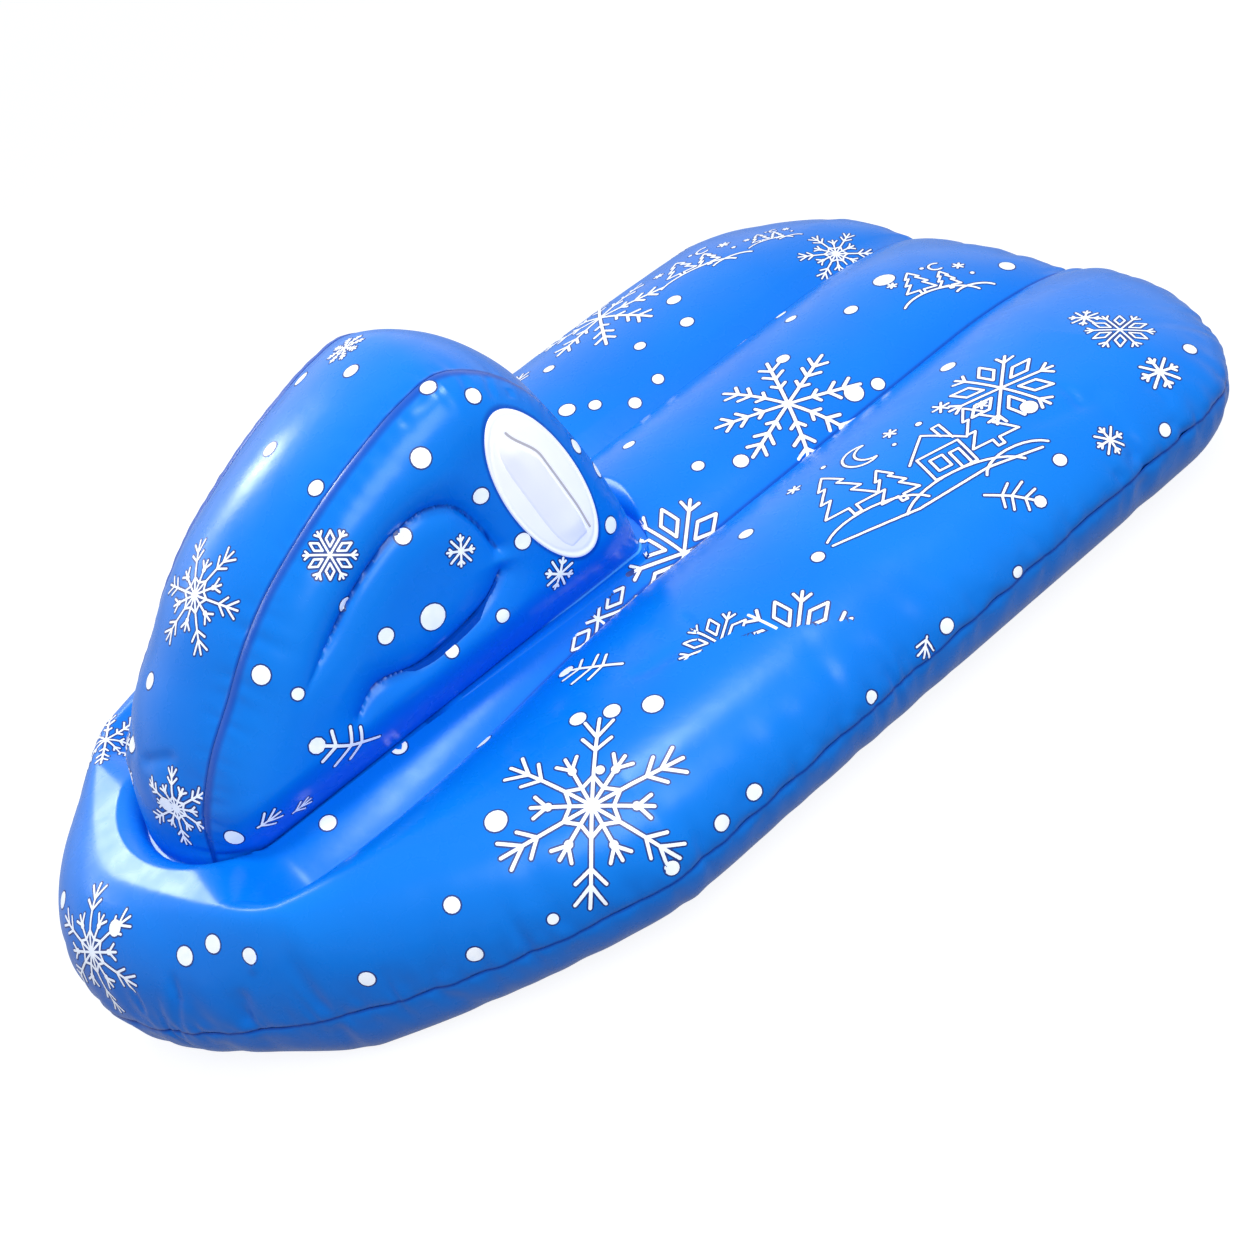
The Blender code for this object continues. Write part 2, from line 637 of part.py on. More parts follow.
def turned(name, profile, axis, collection, material=None):
    """A solid turned about its axis from a profile of (radius, height), outer side downwards."""
    mesh = bmesh.new()
    verts = [mesh.verts.new((radius, 0, height)) for radius, height in profile]
    ends = list(zip(verts[:-1], verts[1:]))
    if profile[0][0] > 0:
        ends.append((verts[-1], verts[0]))
    for pair in ends:
        mesh.edges.new(pair)
    obj = mesh_object(name, mesh, collection, material)
    screw = obj.modifiers.new("turn", "SCREW")
    screw.steps = ROUND_SIDES
    screw.render_steps = ROUND_SIDES
    screw.use_merge_vertices = True
    screw.merge_threshold = MERGE
    obj.parent = axis
    return obj


def make_valve(name, spot, outward, skin, parts, cutters, materials):
    """Push-in air valve at a spot on a skin, along the outward direction."""
    axis = bpy.data.objects.new(f"{name}_axis", None)
    parts.objects.link(axis)
    axis.matrix_world = Matrix.Translation(spot) @ outward.to_track_quat("Z", "Y").to_matrix().to_4x4()

    hole_radius = NECK_RADIUS + SEAT_GAP
    hole = turned(
        f"{name}_hole",
        [(0, COLLAR_RADIUS), (hole_radius, COLLAR_RADIUS), (hole_radius, -NECK_LENGTH), (0, -NECK_LENGTH)],
        axis, cutters,
    )
    combine(skin, hole, "DIFFERENCE")

    flange_top = SEAT_GAP + COLLAR_SHEET
    turned(f"{name}_collar", [
        (NECK_BORE_RADIUS, flange_top), (COLLAR_RADIUS, flange_top), (COLLAR_RADIUS, SEAT_GAP),
        (NECK_RADIUS, SEAT_GAP), (NECK_RADIUS, -NECK_LENGTH), (NECK_BORE_RADIUS, -NECK_LENGTH),
    ], axis, parts, materials["valve"](f"{name}_collar"))

    head_bottom = flange_top + SEAT_GAP
    head_top = head_bottom + HEAD_THICKNESS
    stem_bottom = head_bottom - STEM_LENGTH
    turned(f"{name}_stem", [
        (STEM_BORE_RADIUS, head_top), (HEAD_RADIUS, head_top), (HEAD_RADIUS, head_bottom),
        (STEM_RADIUS, head_bottom), (STEM_RADIUS, stem_bottom), (STEM_BORE_RADIUS, stem_bottom),
    ], axis, parts, materials["valve"](f"{name}_stem"))

    cap_bottom = head_top + SEAT_GAP
    cap_top = cap_bottom + CAP_THICKNESS
    plug = turned(f"{name}_plug", [
        (0, cap_top), (CAP_RADIUS, cap_top), (CAP_RADIUS, cap_bottom), (PLUG_RADIUS, cap_bottom),
        (PLUG_RADIUS, cap_bottom - PLUG_LENGTH), (0, cap_bottom - PLUG_LENGTH),
    ], axis, parts, materials["valve"](f"{name}_plug"))
    tab = bmesh.new()
    bmesh.ops.create_cube(tab, size=1)
    tab_size = (TAB_WIDTH, TAB_LENGTH + CAP_RADIUS / 2, CAP_THICKNESS / 2)
    tab_y = CAP_RADIUS + TAB_LENGTH / 2 - CAP_RADIUS / 4
    bmesh.ops.scale(tab, vec=tab_size, verts=tab.verts)
    bmesh.ops.translate(tab, vec=(0, tab_y, cap_bottom + CAP_THICKNESS / 2), verts=tab.verts)
    tab_shape = mesh_object(f"{name}_tab", tab, cutters)
    tab_shape.parent = axis
    combine(plug, tab_shape, "UNION")

    flap_mesh = bmesh.new()
    bmesh.ops.create_cone(
        flap_mesh, cap_ends=True, segments=ROUND_SIDES,
        radius1=FLAP_RADIUS, radius2=FLAP_RADIUS, depth=FLAP_SHEET,
    )
    bmesh.ops.translate(flap_mesh, vec=(0, -FLAP_RADIUS, -FLAP_SHEET / 2), verts=flap_mesh.verts)
    flap = mesh_object(f"{name}_flap", flap_mesh, parts, materials["flap"](f"{name}_flap"))
    flap.parent = axis
    flap.location = (0, FLAP_RADIUS, stem_bottom - SEAT_GAP)


def base_valve_place():
    """Spot and direction of the base's valve, on the outer side of the right-hand tube."""
    seam = seam_x(BASE_VALVE_Y)
    reach = (half_width(BASE_VALVE_Y) - seam) / (1 + ROUND_SHARE)
    cos, sin = math.cos(BASE_VALVE_ANGLE), math.sin(BASE_VALVE_ANGLE)
    weld = weld_z(BASE_VALVE_Y)
    height = MID_Z + HALF_HEIGHT - weld
    spot = Vector((-seam - reach * (ROUND_SHARE + cos), BASE_VALVE_Y, weld + WELD_GAP / 2 + height * sin))
    return spot, Vector((-cos / reach, 0, sin / height)).normalized()


def cowl_valve_place():
    """Spot and direction of the cowl's valve, low on the back of the strip, facing the rider."""
    step = 1 / CURVE_POINTS
    before, spot, after = along_curve(
        cowl_line(COWL_OUTLINE_SHARES), [COWL_VALVE_SHARE - step, COWL_VALVE_SHARE, COWL_VALVE_SHARE + step]
    )
    slope = (after - before) / np.linalg.norm(after - before)
    outward = Vector((0, -slope[1], slope[0]))
    return Vector((0, *spot)) + outward * strip_bulge(COWL_VALVE_SHARE), outward


def main():
    clear_scene()
    parts = new_collection("inflatable_sled")
    cutters = new_collection("cutters")

    def finish(colour, roughness):
        return lambda name: make_material(name, colour, roughness)

    blue_vinyl = finish((0.005, 0.160, 0.800), 0.25)
    materials = {
        "handle_patch": finish((0.860, 0.870, 0.900), 0.35),
        "handle_grip": finish((0.780, 0.790, 0.840), 0.40),
        "valve": finish((0.600, 0.680, 0.780), 0.35),
        "flap": finish((0.500, 0.580, 0.680), 0.40),
    }

    base_top = make_base_skin("base_top_skin", top_z, 1, parts, blue_vinyl("base_top_skin"))
    make_base_skin("base_bottom_skin", bottom_z, -1, parts, blue_vinyl("base_bottom_skin"))
    for side, word in ((1, "left"), (-1, "right")):
        name = f"base_wall_{word}"
        make_base_wall(name, side, parts, blue_vinyl(name))

    points = side_points()
    side_mesh = sheet_mesh(points, lambda _: Vector((1, 0, 0)))
    left = mesh_object("cowl_side_left", side_mesh, parts, blue_vinyl("cowl_side_left"))
    thicken(left, SKIN)
    baked(left, "cowl_side_right", parts, blue_vinyl("cowl_side_right"), -1)
    middle = Vector((0, (COWL_FRONT_Y + COWL_REAR_Y) / 2, SKIN_FOOT_Z))
    strip_mesh = sheet_mesh(strip_points(), lambda spot: spot - middle)
    strip = mesh_object("cowl_strip", strip_mesh, parts, blue_vinyl("cowl_strip"))
    thicken(strip, SKIN)
    surface = surface_under(left)
    for name, shares in (("cowl_tie_upper", UPPER_TIE_SHARES), ("cowl_tie_lower", LOWER_TIE_SHARES)):
        make_cowl_tie(name, shares, surface, parts, blue_vinyl(name))
    make_handle(left, points, parts, cutters, materials)

    make_valve("base_valve", *base_valve_place(), base_top, parts, cutters, materials)
    make_valve("cowl_valve", *cowl_valve_place(), strip, parts, cutters, materials)


if __name__ == "__main__":
    main()
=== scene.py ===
"""Inflatable snow sled, dressed: glossy blue vinyl skins with welded seams, white printing and soft handles.

Metres, +Z up. The nose points to -Y, the rider's left is +X, and the origin is on the snow under the base.
"""

import math
import random

import bmesh
import bpy
import numpy as np
from mathutils import Matrix, Vector
from mathutils.bvhtree import BVHTree
from mathutils.geometry import delaunay_2d_cdt


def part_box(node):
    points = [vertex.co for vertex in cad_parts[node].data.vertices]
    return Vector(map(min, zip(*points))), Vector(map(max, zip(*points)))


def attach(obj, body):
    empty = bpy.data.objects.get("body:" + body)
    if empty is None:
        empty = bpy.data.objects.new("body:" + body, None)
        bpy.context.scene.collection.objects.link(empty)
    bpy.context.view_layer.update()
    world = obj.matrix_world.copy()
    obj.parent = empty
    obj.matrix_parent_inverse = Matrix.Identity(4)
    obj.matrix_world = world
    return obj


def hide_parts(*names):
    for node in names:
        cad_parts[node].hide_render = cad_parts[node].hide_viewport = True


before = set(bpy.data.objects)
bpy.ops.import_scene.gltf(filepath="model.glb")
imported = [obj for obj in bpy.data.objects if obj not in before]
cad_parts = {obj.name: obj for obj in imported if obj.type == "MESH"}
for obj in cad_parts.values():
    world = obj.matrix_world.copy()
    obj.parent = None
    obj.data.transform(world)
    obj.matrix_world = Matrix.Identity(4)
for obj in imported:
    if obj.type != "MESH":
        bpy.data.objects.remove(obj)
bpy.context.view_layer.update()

bl_info = {
    "name": "Inflatable Snow Sled",
    "version": (1, 0, 0),
    "blender": (4, 5, 0),
    "location": "View3D > Sidebar > Sled",
    "description": "Dresses an inflatable snow sled: skins, welds, prints, handles, valves and studio",
    "category": "Object",
}

# Base, as its solids are drawn, but with fuller rear corners and a rear weld that runs a little higher
HALF_WIDTH = 0.385
REAR_FLARE = 0.0195
TUBE_HEIGHT = 0.174
GROUND_FLAT = 0.0008
NOSE_LENGTH = 0.420
NOSE_TAPER_SHARES = (1.25, 0.527)
NOSE_ROUND = 0.080
NOSE_ROUND_LENGTH = 0.160
REAR_ROUND = 0.215
REAR_ROUND_LENGTH = 0.300
REAR_CORNER_LENGTH = 0.166
REAR_CORNER_INSET = 0.196
REAR_CORNER_SHARES = (2.20, 0.79)
LOWER_REAR_ROUND = 0.170
WELD_DROP_FRONT = 0.012
WELD_RISE_REAR = 0.018
SEAM_X_REAR = 0.117
SEAM_X_FRONT = 0.168
SEAM_TURN_REAR_Y = 0.020
SEAM_TURN_FRONT_Y = -0.420
SEAM_FADE_REAR_Y = -0.400
SEAM_FADE_FRONT_Y = -0.472
SEAM_LIMIT_SHARE = 0.66
WALL_HEIGHT = 0.086
SKIN = 0.0006
WELD_GAP = 0.0005

# Cowl, as its solids are drawn, but flatter low on its sides, where the hem of its foot weld stands out
COWL_FRONT_Y = -0.452
COWL_REAR_Y = 0.030
COWL_FOOT_Z = 0.153
COWL_HEIGHT = 0.262
FOOT_HALF_WIDTH_FRONT = 0.099
FOOT_HALF_WIDTH_REAR = 0.092
FOOT_CORNER_FRONT = 0.050
FOOT_CORNER_REAR = 0.012
FOOT_MARGIN = 0.009
FRONT_MARGIN = 0.0015
PRESS_RISE = 0.026
PRESS_REACH = 0.045
STRIP_HALF_WIDTH = 0.086
STRIP_FOOT_HALF_WIDTH = 0.078
STRIP_BULGE = 0.027
CROWN_BULGE = 0.015
CROWN_BULGE_SHARES = (0.25, 0.60)
STRIP_TAPER_SHARE = 0.14
SIDE_BULGE = 0.040
SIDE_ROUND_TOP = 0.060
SIDE_ROUND_FOOT = 0.034
SIDE_LEAST_HEIGHT = 0.0015
LOW_BULGE_SHARE = 0.35
LOW_BULGE_HEIGHT = 0.062
FLANGE = 0.0050
FLANGE_HEIGHT = 0.0012
FLANGE_FADE_Y = (-0.130, -0.050)
TIE_PULL = 0.0125
TIE_REACH = 0.032
TIE_SOFT = 0.0016
TIE_FADE_SHARES = (0.24, 0.40)
TIE_LINE_FADE = 0.02
DECK_SHELF_SHARE = 0.72
COWL_OUTLINE_SHARES = (
    (0.000, 0.000), (0.030, 0.180), (0.088, 0.340), (0.180, 0.497), (0.240, 0.600),
    (0.320, 0.708), (0.410, 0.797), (0.500, 0.872), (0.600, 0.938), (0.700, 0.988),
    (0.776, 1.000), (0.850, 0.925), (0.912, 0.785), (0.950, 0.600), (0.976, 0.390),
    (0.992, 0.190), (1.000, 0.000),
)
UPPER_TIE_SHARES = (
    (0.265, 0.420), (0.363, 0.525), (0.473, 0.638), (0.568, 0.695), (0.627, 0.695),
    (0.668, 0.655), (0.695, 0.553), (0.707, 0.436),
)
LOWER_TIE_SHARES = (
    (0.693, 0.352), (0.658, 0.310), (0.560, 0.266), (0.481, 0.262), (0.388, 0.296), (0.340, 0.254),
)

# Handle and valves, as their solids are drawn
HANDLE_Y = -0.050
HANDLE_Z = 0.292
HANDLE_LEAN = math.radians(9)
PATCH_HALF_LENGTH = 0.082
PATCH_HALF_WIDTH = 0.038
BASE_VALVE_Y = 0.240
BASE_VALVE_ANGLE = math.radians(18)
COWL_VALVE_SHARE = 0.89
VALVE_HOLE = 0.0125

# Plate: the round of its edge, its crown, how deep it is bedded, and the ring that is pressed in along its edge
PLATE_EDGE = 0.0012
PLATE_CROWN = 0.0012
PLATE_BED = 0.0004
PLATE_SHEET = 0.0008
PLATE_RINGS = (0.02, 0.90, 64)
PLATE_TURNS = 241
RIM_RINGS = (0.92, 0.94, 0.955, 0.97, 0.98, 0.99, 0.996, 1.0)
RING_INSET = 0.0032
RING_WIDTH = 0.0009
RING_DEPTH = 0.0009

# Strap: its front edge and rear edge across the plate, how both turn in towards its ends, its crown and its ends
GRIP_HALF_LENGTH = 0.066
STRAP_FRONT = -0.0195
STRAP_FRONT_TURN = 0.010
STRAP_FRONT_POWER = 5
STRAP_REAR = 0.0095
STRAP_REAR_TURNS = (0.014, 0.002)
STRAP_TURN_STARTS = (0.35, 0.5)
STRAP_LIFT = 0.0016
STRAP_RISE_ALONG = (0, 0.34)
STRAP_RISE_ACROSS = (-0.12, 0.62)
STRAP_CROWN = 0.0010
STRAP_EDGE = 0.0025
STRAP_END_DROP = 0.0036
STRAP_END_SHARES = (0.93, 1.0)
STRAP_BEVEL = 0.0007
# Painted shadow line on the plate: how far it is set behind the strap's rear edge, and the shares of the strap's
# length that it runs over, with its count of points
STRAP_SHADOW_STEP = 0.0046
STRAP_SHADOW_SHARES = (-0.94, 0.96, 40)

# Folds along the welds: seed and mean spacing, then the least and most of their reach, depth and width. The fine
# ones take their spacing and the most of their depth from the settings
FINE_FOLDS = (11, (0.016, 0.07), 0.0007, (0.0022, 0.0048))
LONG_FOLDS = (12, 0.021, (0.04, 0.105), (0.0018, 0.0050), (0.0050, 0.0085))
COWL_FOLDS = (23, 0.015, (0.012, 0.045), (0.0006, 0.0022), (0.0024, 0.0055))

# Where each kind starts and is full beyond the weld, how far they differ, and how they widen and fade. The bands are
# how far off a fold or crease still counts, in its widths and, for a fold's slant, its reach
FINE_FOLD_START = (-0.004, 0.008)
LONG_FOLD_START = (0, 0.02)
COWL_FOLD_START = (0, 0.004)
FOLD_SIZE_POWER = 1.6
FOLD_DEPTH_SHARES = (0.55, 0.45)
FOLD_SLANT = 0.28
FOLD_STEPS = (0.5, 1.5)
FOLD_BAND = (6, 0.3)
FOLD_WIDENING = 1.2
FOLD_FADE = (1.7, 0.6)
CREASE_BAND = 3
CREASE_END_SHARE = 0.3

# Rim weld, drawn in by waves towards a middle line that stops short of both ends, less and less up the skin
WELD_WAVES = (0.0095, 0.043)
WELD_NOTCH_REACH = 0.005
MIDDLE_MARGIN = 0.26

# Most that a print may stretch across a seam before it breaks, the net of turns and rings that lays it down, which
# ends where a step moves it less than its share, and what gives the far side a print of its own
STRETCH = 1.8
INK_GAP = 0.0012
NET_TURNS = 40
NET_STEP = 0.004
NET_LEAST_RINGS = 4
NET_LEAST_MOVE = 0.6
NET_MARGIN = 0.001
LEAST_STROKE = 0.0016
TWIN_LEAST_X = 0.02
TWIN_GAP = 0.01
PRINT_SEED = 5
CLOSE = 1e-6

# Points round a disc, round a dot and round its inner ring, and angles of the points that round a stroke's ends
DISC_POINTS = 10
DOT_POINTS = 16
DOT_RING = (0.5, 8)
FAR_END = (-0.9, 0, 0.9)
NEAR_END = (2.24, 3.14, 4.04)

HALF_HEIGHT = TUBE_HEIGHT / 2
MID_Z = HALF_HEIGHT - GROUND_FLAT
ROUND_SHARE = math.sqrt(1 - (WALL_HEIGHT / TUBE_HEIGHT) ** 2)
NOSE_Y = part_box("base_top_skin")[0].y
REAR_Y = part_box("base_top_skin")[1].y
TAPER_Y = NOSE_Y + NOSE_LENGTH
COWL_LENGTH = COWL_REAR_Y - COWL_FRONT_Y
FOOT_FRONT_Y = COWL_FRONT_Y - STRIP_BULGE
FOOT_REAR_Y = COWL_REAR_Y + CROWN_BULGE
SKIN_FOOT_Z = COWL_FOOT_Z + 0.0003
CURVE_POINTS = 400
TIE_POINTS = 80
CHUNK = 2000
MERGE = 0.00005
TINY = 1e-9

# Creases that the picture shows, by CAD node: width and depth in metres (a ridge is below 0), and pixels along them
CREASES = {
    "base_top_skin": (
        (0.0050, 0.0034, (1124, 436), (1136, 452), (1150, 474)),
        (0.0050, 0.0024, (1112, 470), (1126, 480), (1140, 490)),
        (0.0070, 0.0034, (1160, 352), (1185, 378), (1212, 408)),
        (0.0070, 0.0034, (1140, 380), (1175, 410), (1208, 436)),
        (0.0055, 0.0028, (1165, 418), (1190, 436), (1214, 450)),
        (0.0060, 0.0026, (1176, 334), (1194, 348), (1210, 366)),
        (0.0045, 0.0022, (1060, 384), (1072, 396), (1086, 412)),
        (0.0110, 0.0024, (1015, 432), (1065, 412), (1118, 388)),
        (0.0035, 0.0022, (684, 612), (692, 626), (702, 646)),
        (0.0060, 0.0024, (618, 683), (650, 668), (690, 640)),
        (0.0045, 0.0040, (172, 966), (177, 1000), (181, 1034)),
        (0.0040, 0.0026, (130, 985), (138, 1003), (146, 1018)),
        (0.0030, -0.0022, (259, 944), (256, 960), (253, 976)),
        (0.0060, 0.0030, (240, 985), (244, 1005), (247, 1034)),
    ),
    "cowl_strip": (
        (0.0060, 0.0030, (98, 756), (140, 763), (180, 756)),
        (0.0120, -0.0030, (150, 788), (185, 790), (212, 784)),
    ),
    "cowl_side_left": (
        (0.0035, 0.0018, (482, 374), (489, 388), (497, 404)),
        (0.0035, 0.0016, (503, 378), (507, 388), (512, 400)),
        (0.0035, 0.0016, (462, 376), (467, 388), (474, 402)),
    ),
}

# Mesh of the skins
TOP_ROWS = (70, 190, 150, 66)
TOP_COLUMNS = (12, 16, 60)
BOTTOM_ROWS = (50, 140, 110, 50)
BOTTOM_COLUMNS = (8, 10, 44)
INNER_ARC = math.radians(134)
NOSE_CORNER_X = 0.125
NOSE_LINE = (0.1, 4000)
SIDE_GRID = (300, 140)
STRIP_GRID = (300, 64)
STRAP_GRID = (70, 26)

# Camera matched to the photograph
CAMERA_PLACE = (1.275, -0.5029, 0.9836)
CAMERA_AZIMUTH = math.radians(67.808)
CAMERA_ELEVATION = math.radians(35.078)
CAMERA_ROLL = math.radians(25.445)
CAMERA_LENS = 46.96
SENSOR = 36.0
PICTURE = 1259
FOCAL = CAMERA_LENS / SENSOR * PICTURE

# Studio: colours of the lamps and the even light, and the share of the floor's lift that the film mirrors,
# which keeps the sled's underside a deep blue
LAMP_COLOUR = (1.0, 0.98, 0.92)
FILL_COLOUR = (0.42, 0.60, 1.0, 1.0)
FLOOR_MIRRORED = 0.35


def linear(hex_colour):
    """Scene-linear RGBA of an sRGB hex colour."""
    parts = [int(hex_colour[i:i + 2], 16) / 255 for i in (1, 3, 5)]
    return (*(c / 12.92 if c <= 0.04045 else ((c + 0.055) / 1.055) ** 2.4 for c in parts), 1.0)


FILM = "glossy_blue_pvc_film"
WHITE = (1.0, 1.0, 1.0, 1.0)
# Painted glow: the clear valve parts give off a faint milky blue light of their own
MILKY_PAINTED_GLOW = (linear("#C8DCF8"), 0.12)
CLOUD_RANGE = {"From Min": 0.3, "From Max": 0.7}
MIX_FIRST, MIX_SECOND, MIX_RESULT = 6, 7, 2


def smooth(start, end, value):
    share = np.clip((value - start) / (end - start), 0, 1)
    return share * share * (3 - 2 * share)


def quarter(share):
    """Height of a quarter circle over 0 to 1, level beyond it."""
    return np.sqrt(1 - (1 - np.clip(share, 0, 1)) ** 2)


def half_width(y):
    ahead = np.clip((TAPER_Y - y) / NOSE_LENGTH, 0, 1)
    taper = (1 - ahead ** NOSE_TAPER_SHARES[0]) ** NOSE_TAPER_SHARES[1]
    flare = REAR_FLARE * np.clip((y - TAPER_Y) / (REAR_Y - TAPER_Y), 0, 1)
    behind = np.clip((y - REAR_Y + REAR_CORNER_LENGTH) / REAR_CORNER_LENGTH, 0, 1)
    inset = 1 - (1 - behind ** REAR_CORNER_SHARES[0]) ** REAR_CORNER_SHARES[1]
    return HALF_WIDTH * taper + flare - REAR_CORNER_INSET * inset


def nearest_on(line, points):
    """Distance from points to a polyline, and how far along the line the nearest spot is."""
    start, step = line[:-1], np.diff(line, axis=0)
    lengths = np.linalg.norm(step, axis=1)
    before = np.concatenate([[0], np.cumsum(lengths)[:-1]])
    flat = points.reshape(-1, points.shape[-1])
    away, along = np.empty(len(flat)), np.empty(len(flat))
    for first in range(0, len(flat), CHUNK):
        part = flat[first:first + CHUNK, None, :]
        share = np.clip(((part - start) * step).sum(-1) / lengths**2, 0, 1)
        gap = np.linalg.norm(part - start - share[..., None] * step, axis=-1)
        best = gap.argmin(1)
        rows = np.arange(len(best))
        away[first:first + CHUNK] = gap[rows, best]
        along[first:first + CHUNK] = before[best] + share[rows, best] * lengths[best]
    return away.reshape(points.shape[:-1]), along.reshape(points.shape[:-1])


def inside(ring, x, y):
    """Whether points lie within a closed outline."""
    within = np.zeros(np.shape(x), bool)
    for (x0, y0), (x1, y1) in zip(ring, [*ring[1:], ring[0]]):
        if y0 != y1:
            within = within ^ (((y0 > y) != (y1 > y)) & (x < (x1 - x0) * (y - y0) / (y1 - y0) + x0))
    return within


def foot_half_width(y):
    """Half the width of the cowl's foot, rounded in at its front and rear."""
    straight = FOOT_HALF_WIDTH_FRONT + (FOOT_HALF_WIDTH_REAR - FOOT_HALF_WIDTH_FRONT) * smooth(
        COWL_FRONT_Y, COWL_REAR_Y, y
    )
    front = quarter((y - FOOT_FRONT_Y) / (FOOT_CORNER_FRONT + STRIP_BULGE))
    rear = quarter((FOOT_REAR_Y - y) / (FOOT_CORNER_REAR + CROWN_BULGE))
    return straight * front * rear


def shelf_line():
    """Left half of the flat under the cowl in plan, a margin outside the foot, from front to rear."""
    turn = np.linspace(0, math.pi, CURVE_POINTS)
    y = FOOT_FRONT_Y + (FOOT_REAR_Y - FOOT_FRONT_Y) * (1 - np.cos(turn)) / 2
    foot = np.stack([foot_half_width(y), y], -1)
    step = np.gradient(foot, axis=0)
    step /= np.linalg.norm(step, axis=1)[:, None]
    margin = FOOT_MARGIN - (FOOT_MARGIN - FRONT_MARGIN) * np.clip(step[:, :1], 0, 1)
    return foot + margin * np.stack([step[:, 1], -step[:, 0]], -1)


def seam_x(y):
    outward = 1 - smooth(SEAM_TURN_FRONT_Y, SEAM_TURN_REAR_Y, y)
    x = SEAM_X_REAR + (SEAM_X_FRONT - SEAM_X_REAR) * outward
    return np.minimum(x, SEAM_LIMIT_SHARE * half_width(y))


def weld_z(y):
    return MID_Z - WELD_DROP_FRONT + (WELD_DROP_FRONT + WELD_RISE_REAR) * smooth(NOSE_Y, REAR_Y, y)


def spread(count, both=True):
    """Shares from 0 to 1, packed closer at both ends or at the start."""
    turn = np.linspace(0, math.pi if both else math.pi / 2, count + 1)
    return (1 - np.cos(turn)) / (2 if both else 1)


def base_plan(row_counts, column_counts):
    """Plan of a base skin's mesh: its lines follow the rim, the seams and the shelf round the cowl."""
    nose, cowl, deck, rear = row_counts
    shelf_count, valley_count, outer_count = column_counts
    shelf = shelf_line()
    step = np.gradient(shelf, axis=0)
    front_corner = np.argmax(step[:, 1] > step[:, 0])
    rear_corner = len(shelf) - 1 - np.argmax((step[:, 1] > -step[:, 0])[::-1])
    front, behind = shelf[: front_corner + 1], shelf[rear_corner:][::-1]
    (front_x, front_y), (rear_x, rear_y) = shelf[front_corner], shelf[rear_corner]
    side = shelf[front_corner:rear_corner + 1]
    nose_y = np.linspace(NOSE_Y, NOSE_Y + NOSE_LINE[0], NOSE_LINE[1])
    nose_x = half_width(nose_y)
    corner_y = np.interp(NOSE_CORNER_X, nose_x, nose_y)
    straight_y = REAR_Y - REAR_CORNER_LENGTH
    valley = spread(valley_count)[1:]
    angles = np.linspace(INNER_ARC, 0, outer_count)
    rows = []

    def across(edge_y, shelf_x, start, end, share):
        """Adds a row a share of the way between two lines, each a table of x and y."""
        width, seam = half_width(edge_y), seam_x(edge_y)
        reach = (width - seam) / (1 + ROUND_SHARE)
        half = np.concatenate([
            [0], shelf_x * (np.arange(shelf_count) + 1) / shelf_count,
            shelf_x + (seam - shelf_x) * valley,
            seam + reach * (ROUND_SHARE + np.cos(angles)),
        ])
        half[-1] = width
        y = np.interp(half, *start) * (1 - share) + np.interp(half, *end) * share
        points = np.stack([half, y], -1)
        rows.append(np.concatenate([points[:0:-1] * (-1, 1), points]))

    for share in spread(nose)[:-1]:
        y = corner_y + (front_y - corner_y) * share
        start = DECK_SHELF_SHARE * seam_x(y)
        nose_line = (nose_x * half_width(y) / NOSE_CORNER_X, nose_y)
        across(y, start + (front_x - start) * smooth(0, 1, share), nose_line, front.T, share)
    for share in np.linspace(0, 1, cowl, endpoint=False):
        y = front_y + (rear_y - front_y) * share
        across(y, np.interp(y, side[:, 1], side[:, 0]), front.T, behind.T, share)
    for share in spread(deck)[:-1]:
        y = rear_y + (straight_y - rear_y) * share
        end = DECK_SHELF_SHARE * seam_x(y)
        across(y, rear_x + (end - rear_x) * smooth(0, 1, share), behind.T, ([0], [straight_y]), share)
    for share in spread(rear, False)[::-1]:
        y = REAR_Y - REAR_CORNER_LENGTH * share
        across(y, DECK_SHELF_SHARE * seam_x(y), ([0], [y]), ([0], [y]), 0)
    return np.array(rows)


def rim_of(plan):
    """Outline of the base in plan, from the right end of the nose round by the left side."""
    return np.vstack([plan[0], plan[1:, -1], plan[-1, -2::-1], plan[-2::-1, 0]])


def tube_fullness(x, y, away, rear_round=REAR_ROUND):
    """Share of the full height that the skin has at a distance from the rim."""
    seam = seam_x(y)
    outer_round = np.maximum((half_width(y) - seam) / (1 + ROUND_SHARE), MERGE)
    nose = 1 - smooth(NOSE_Y + NOSE_ROUND_LENGTH / 2, NOSE_Y + NOSE_ROUND_LENGTH, y)
    rear = smooth(REAR_Y - REAR_ROUND_LENGTH, REAR_Y, y)
    edge_round = outer_round + (NOSE_ROUND - outer_round) * nose + (rear_round - outer_round) * rear
    beyond = np.abs(x) - seam
    outer = quarter(1 - ROUND_SHARE + np.maximum(beyond, 0) / outer_round)
    centre = np.sqrt(np.clip(1 - (x * ROUND_SHARE / np.maximum(seam, MERGE)) ** 2, 0, 1))
    held = smooth(SEAM_FADE_FRONT_Y, SEAM_FADE_REAR_Y, y)
    return quarter(away / edge_round) * (1 - (1 - np.where(beyond > 0, outer, centre)) * held)


def skin_z(x, y, away, up):
    weld = weld_z(y)
    full = tube_fullness(x, y, away, REAR_ROUND if up > 0 else LOWER_REAR_ROUND)
    return weld + up * WELD_GAP / 2 + (MID_Z + up * HALF_HEIGHT - weld) * full


def top_z(x, y, away):
    """Top skin, held down to a flat under the cowl and rising in a roll round it."""
    shelf = shelf_line()
    clear = nearest_on(shelf, np.stack([np.abs(x), y], -1))[0]
    ring = np.concatenate([shelf, shelf[::-1] * (-1, 1)])
    clear = np.where(inside(ring, x, y) | (clear < MERGE), 0, clear)
    roll = COWL_FOOT_Z + PRESS_RISE * quarter(clear / PRESS_REACH)
    return np.where(clear > 0, np.minimum(skin_z(x, y, away, 1), roll), COWL_FOOT_Z)


def bottom_z(x, y, away):
    return np.maximum(skin_z(x, y, away, -1), 0)


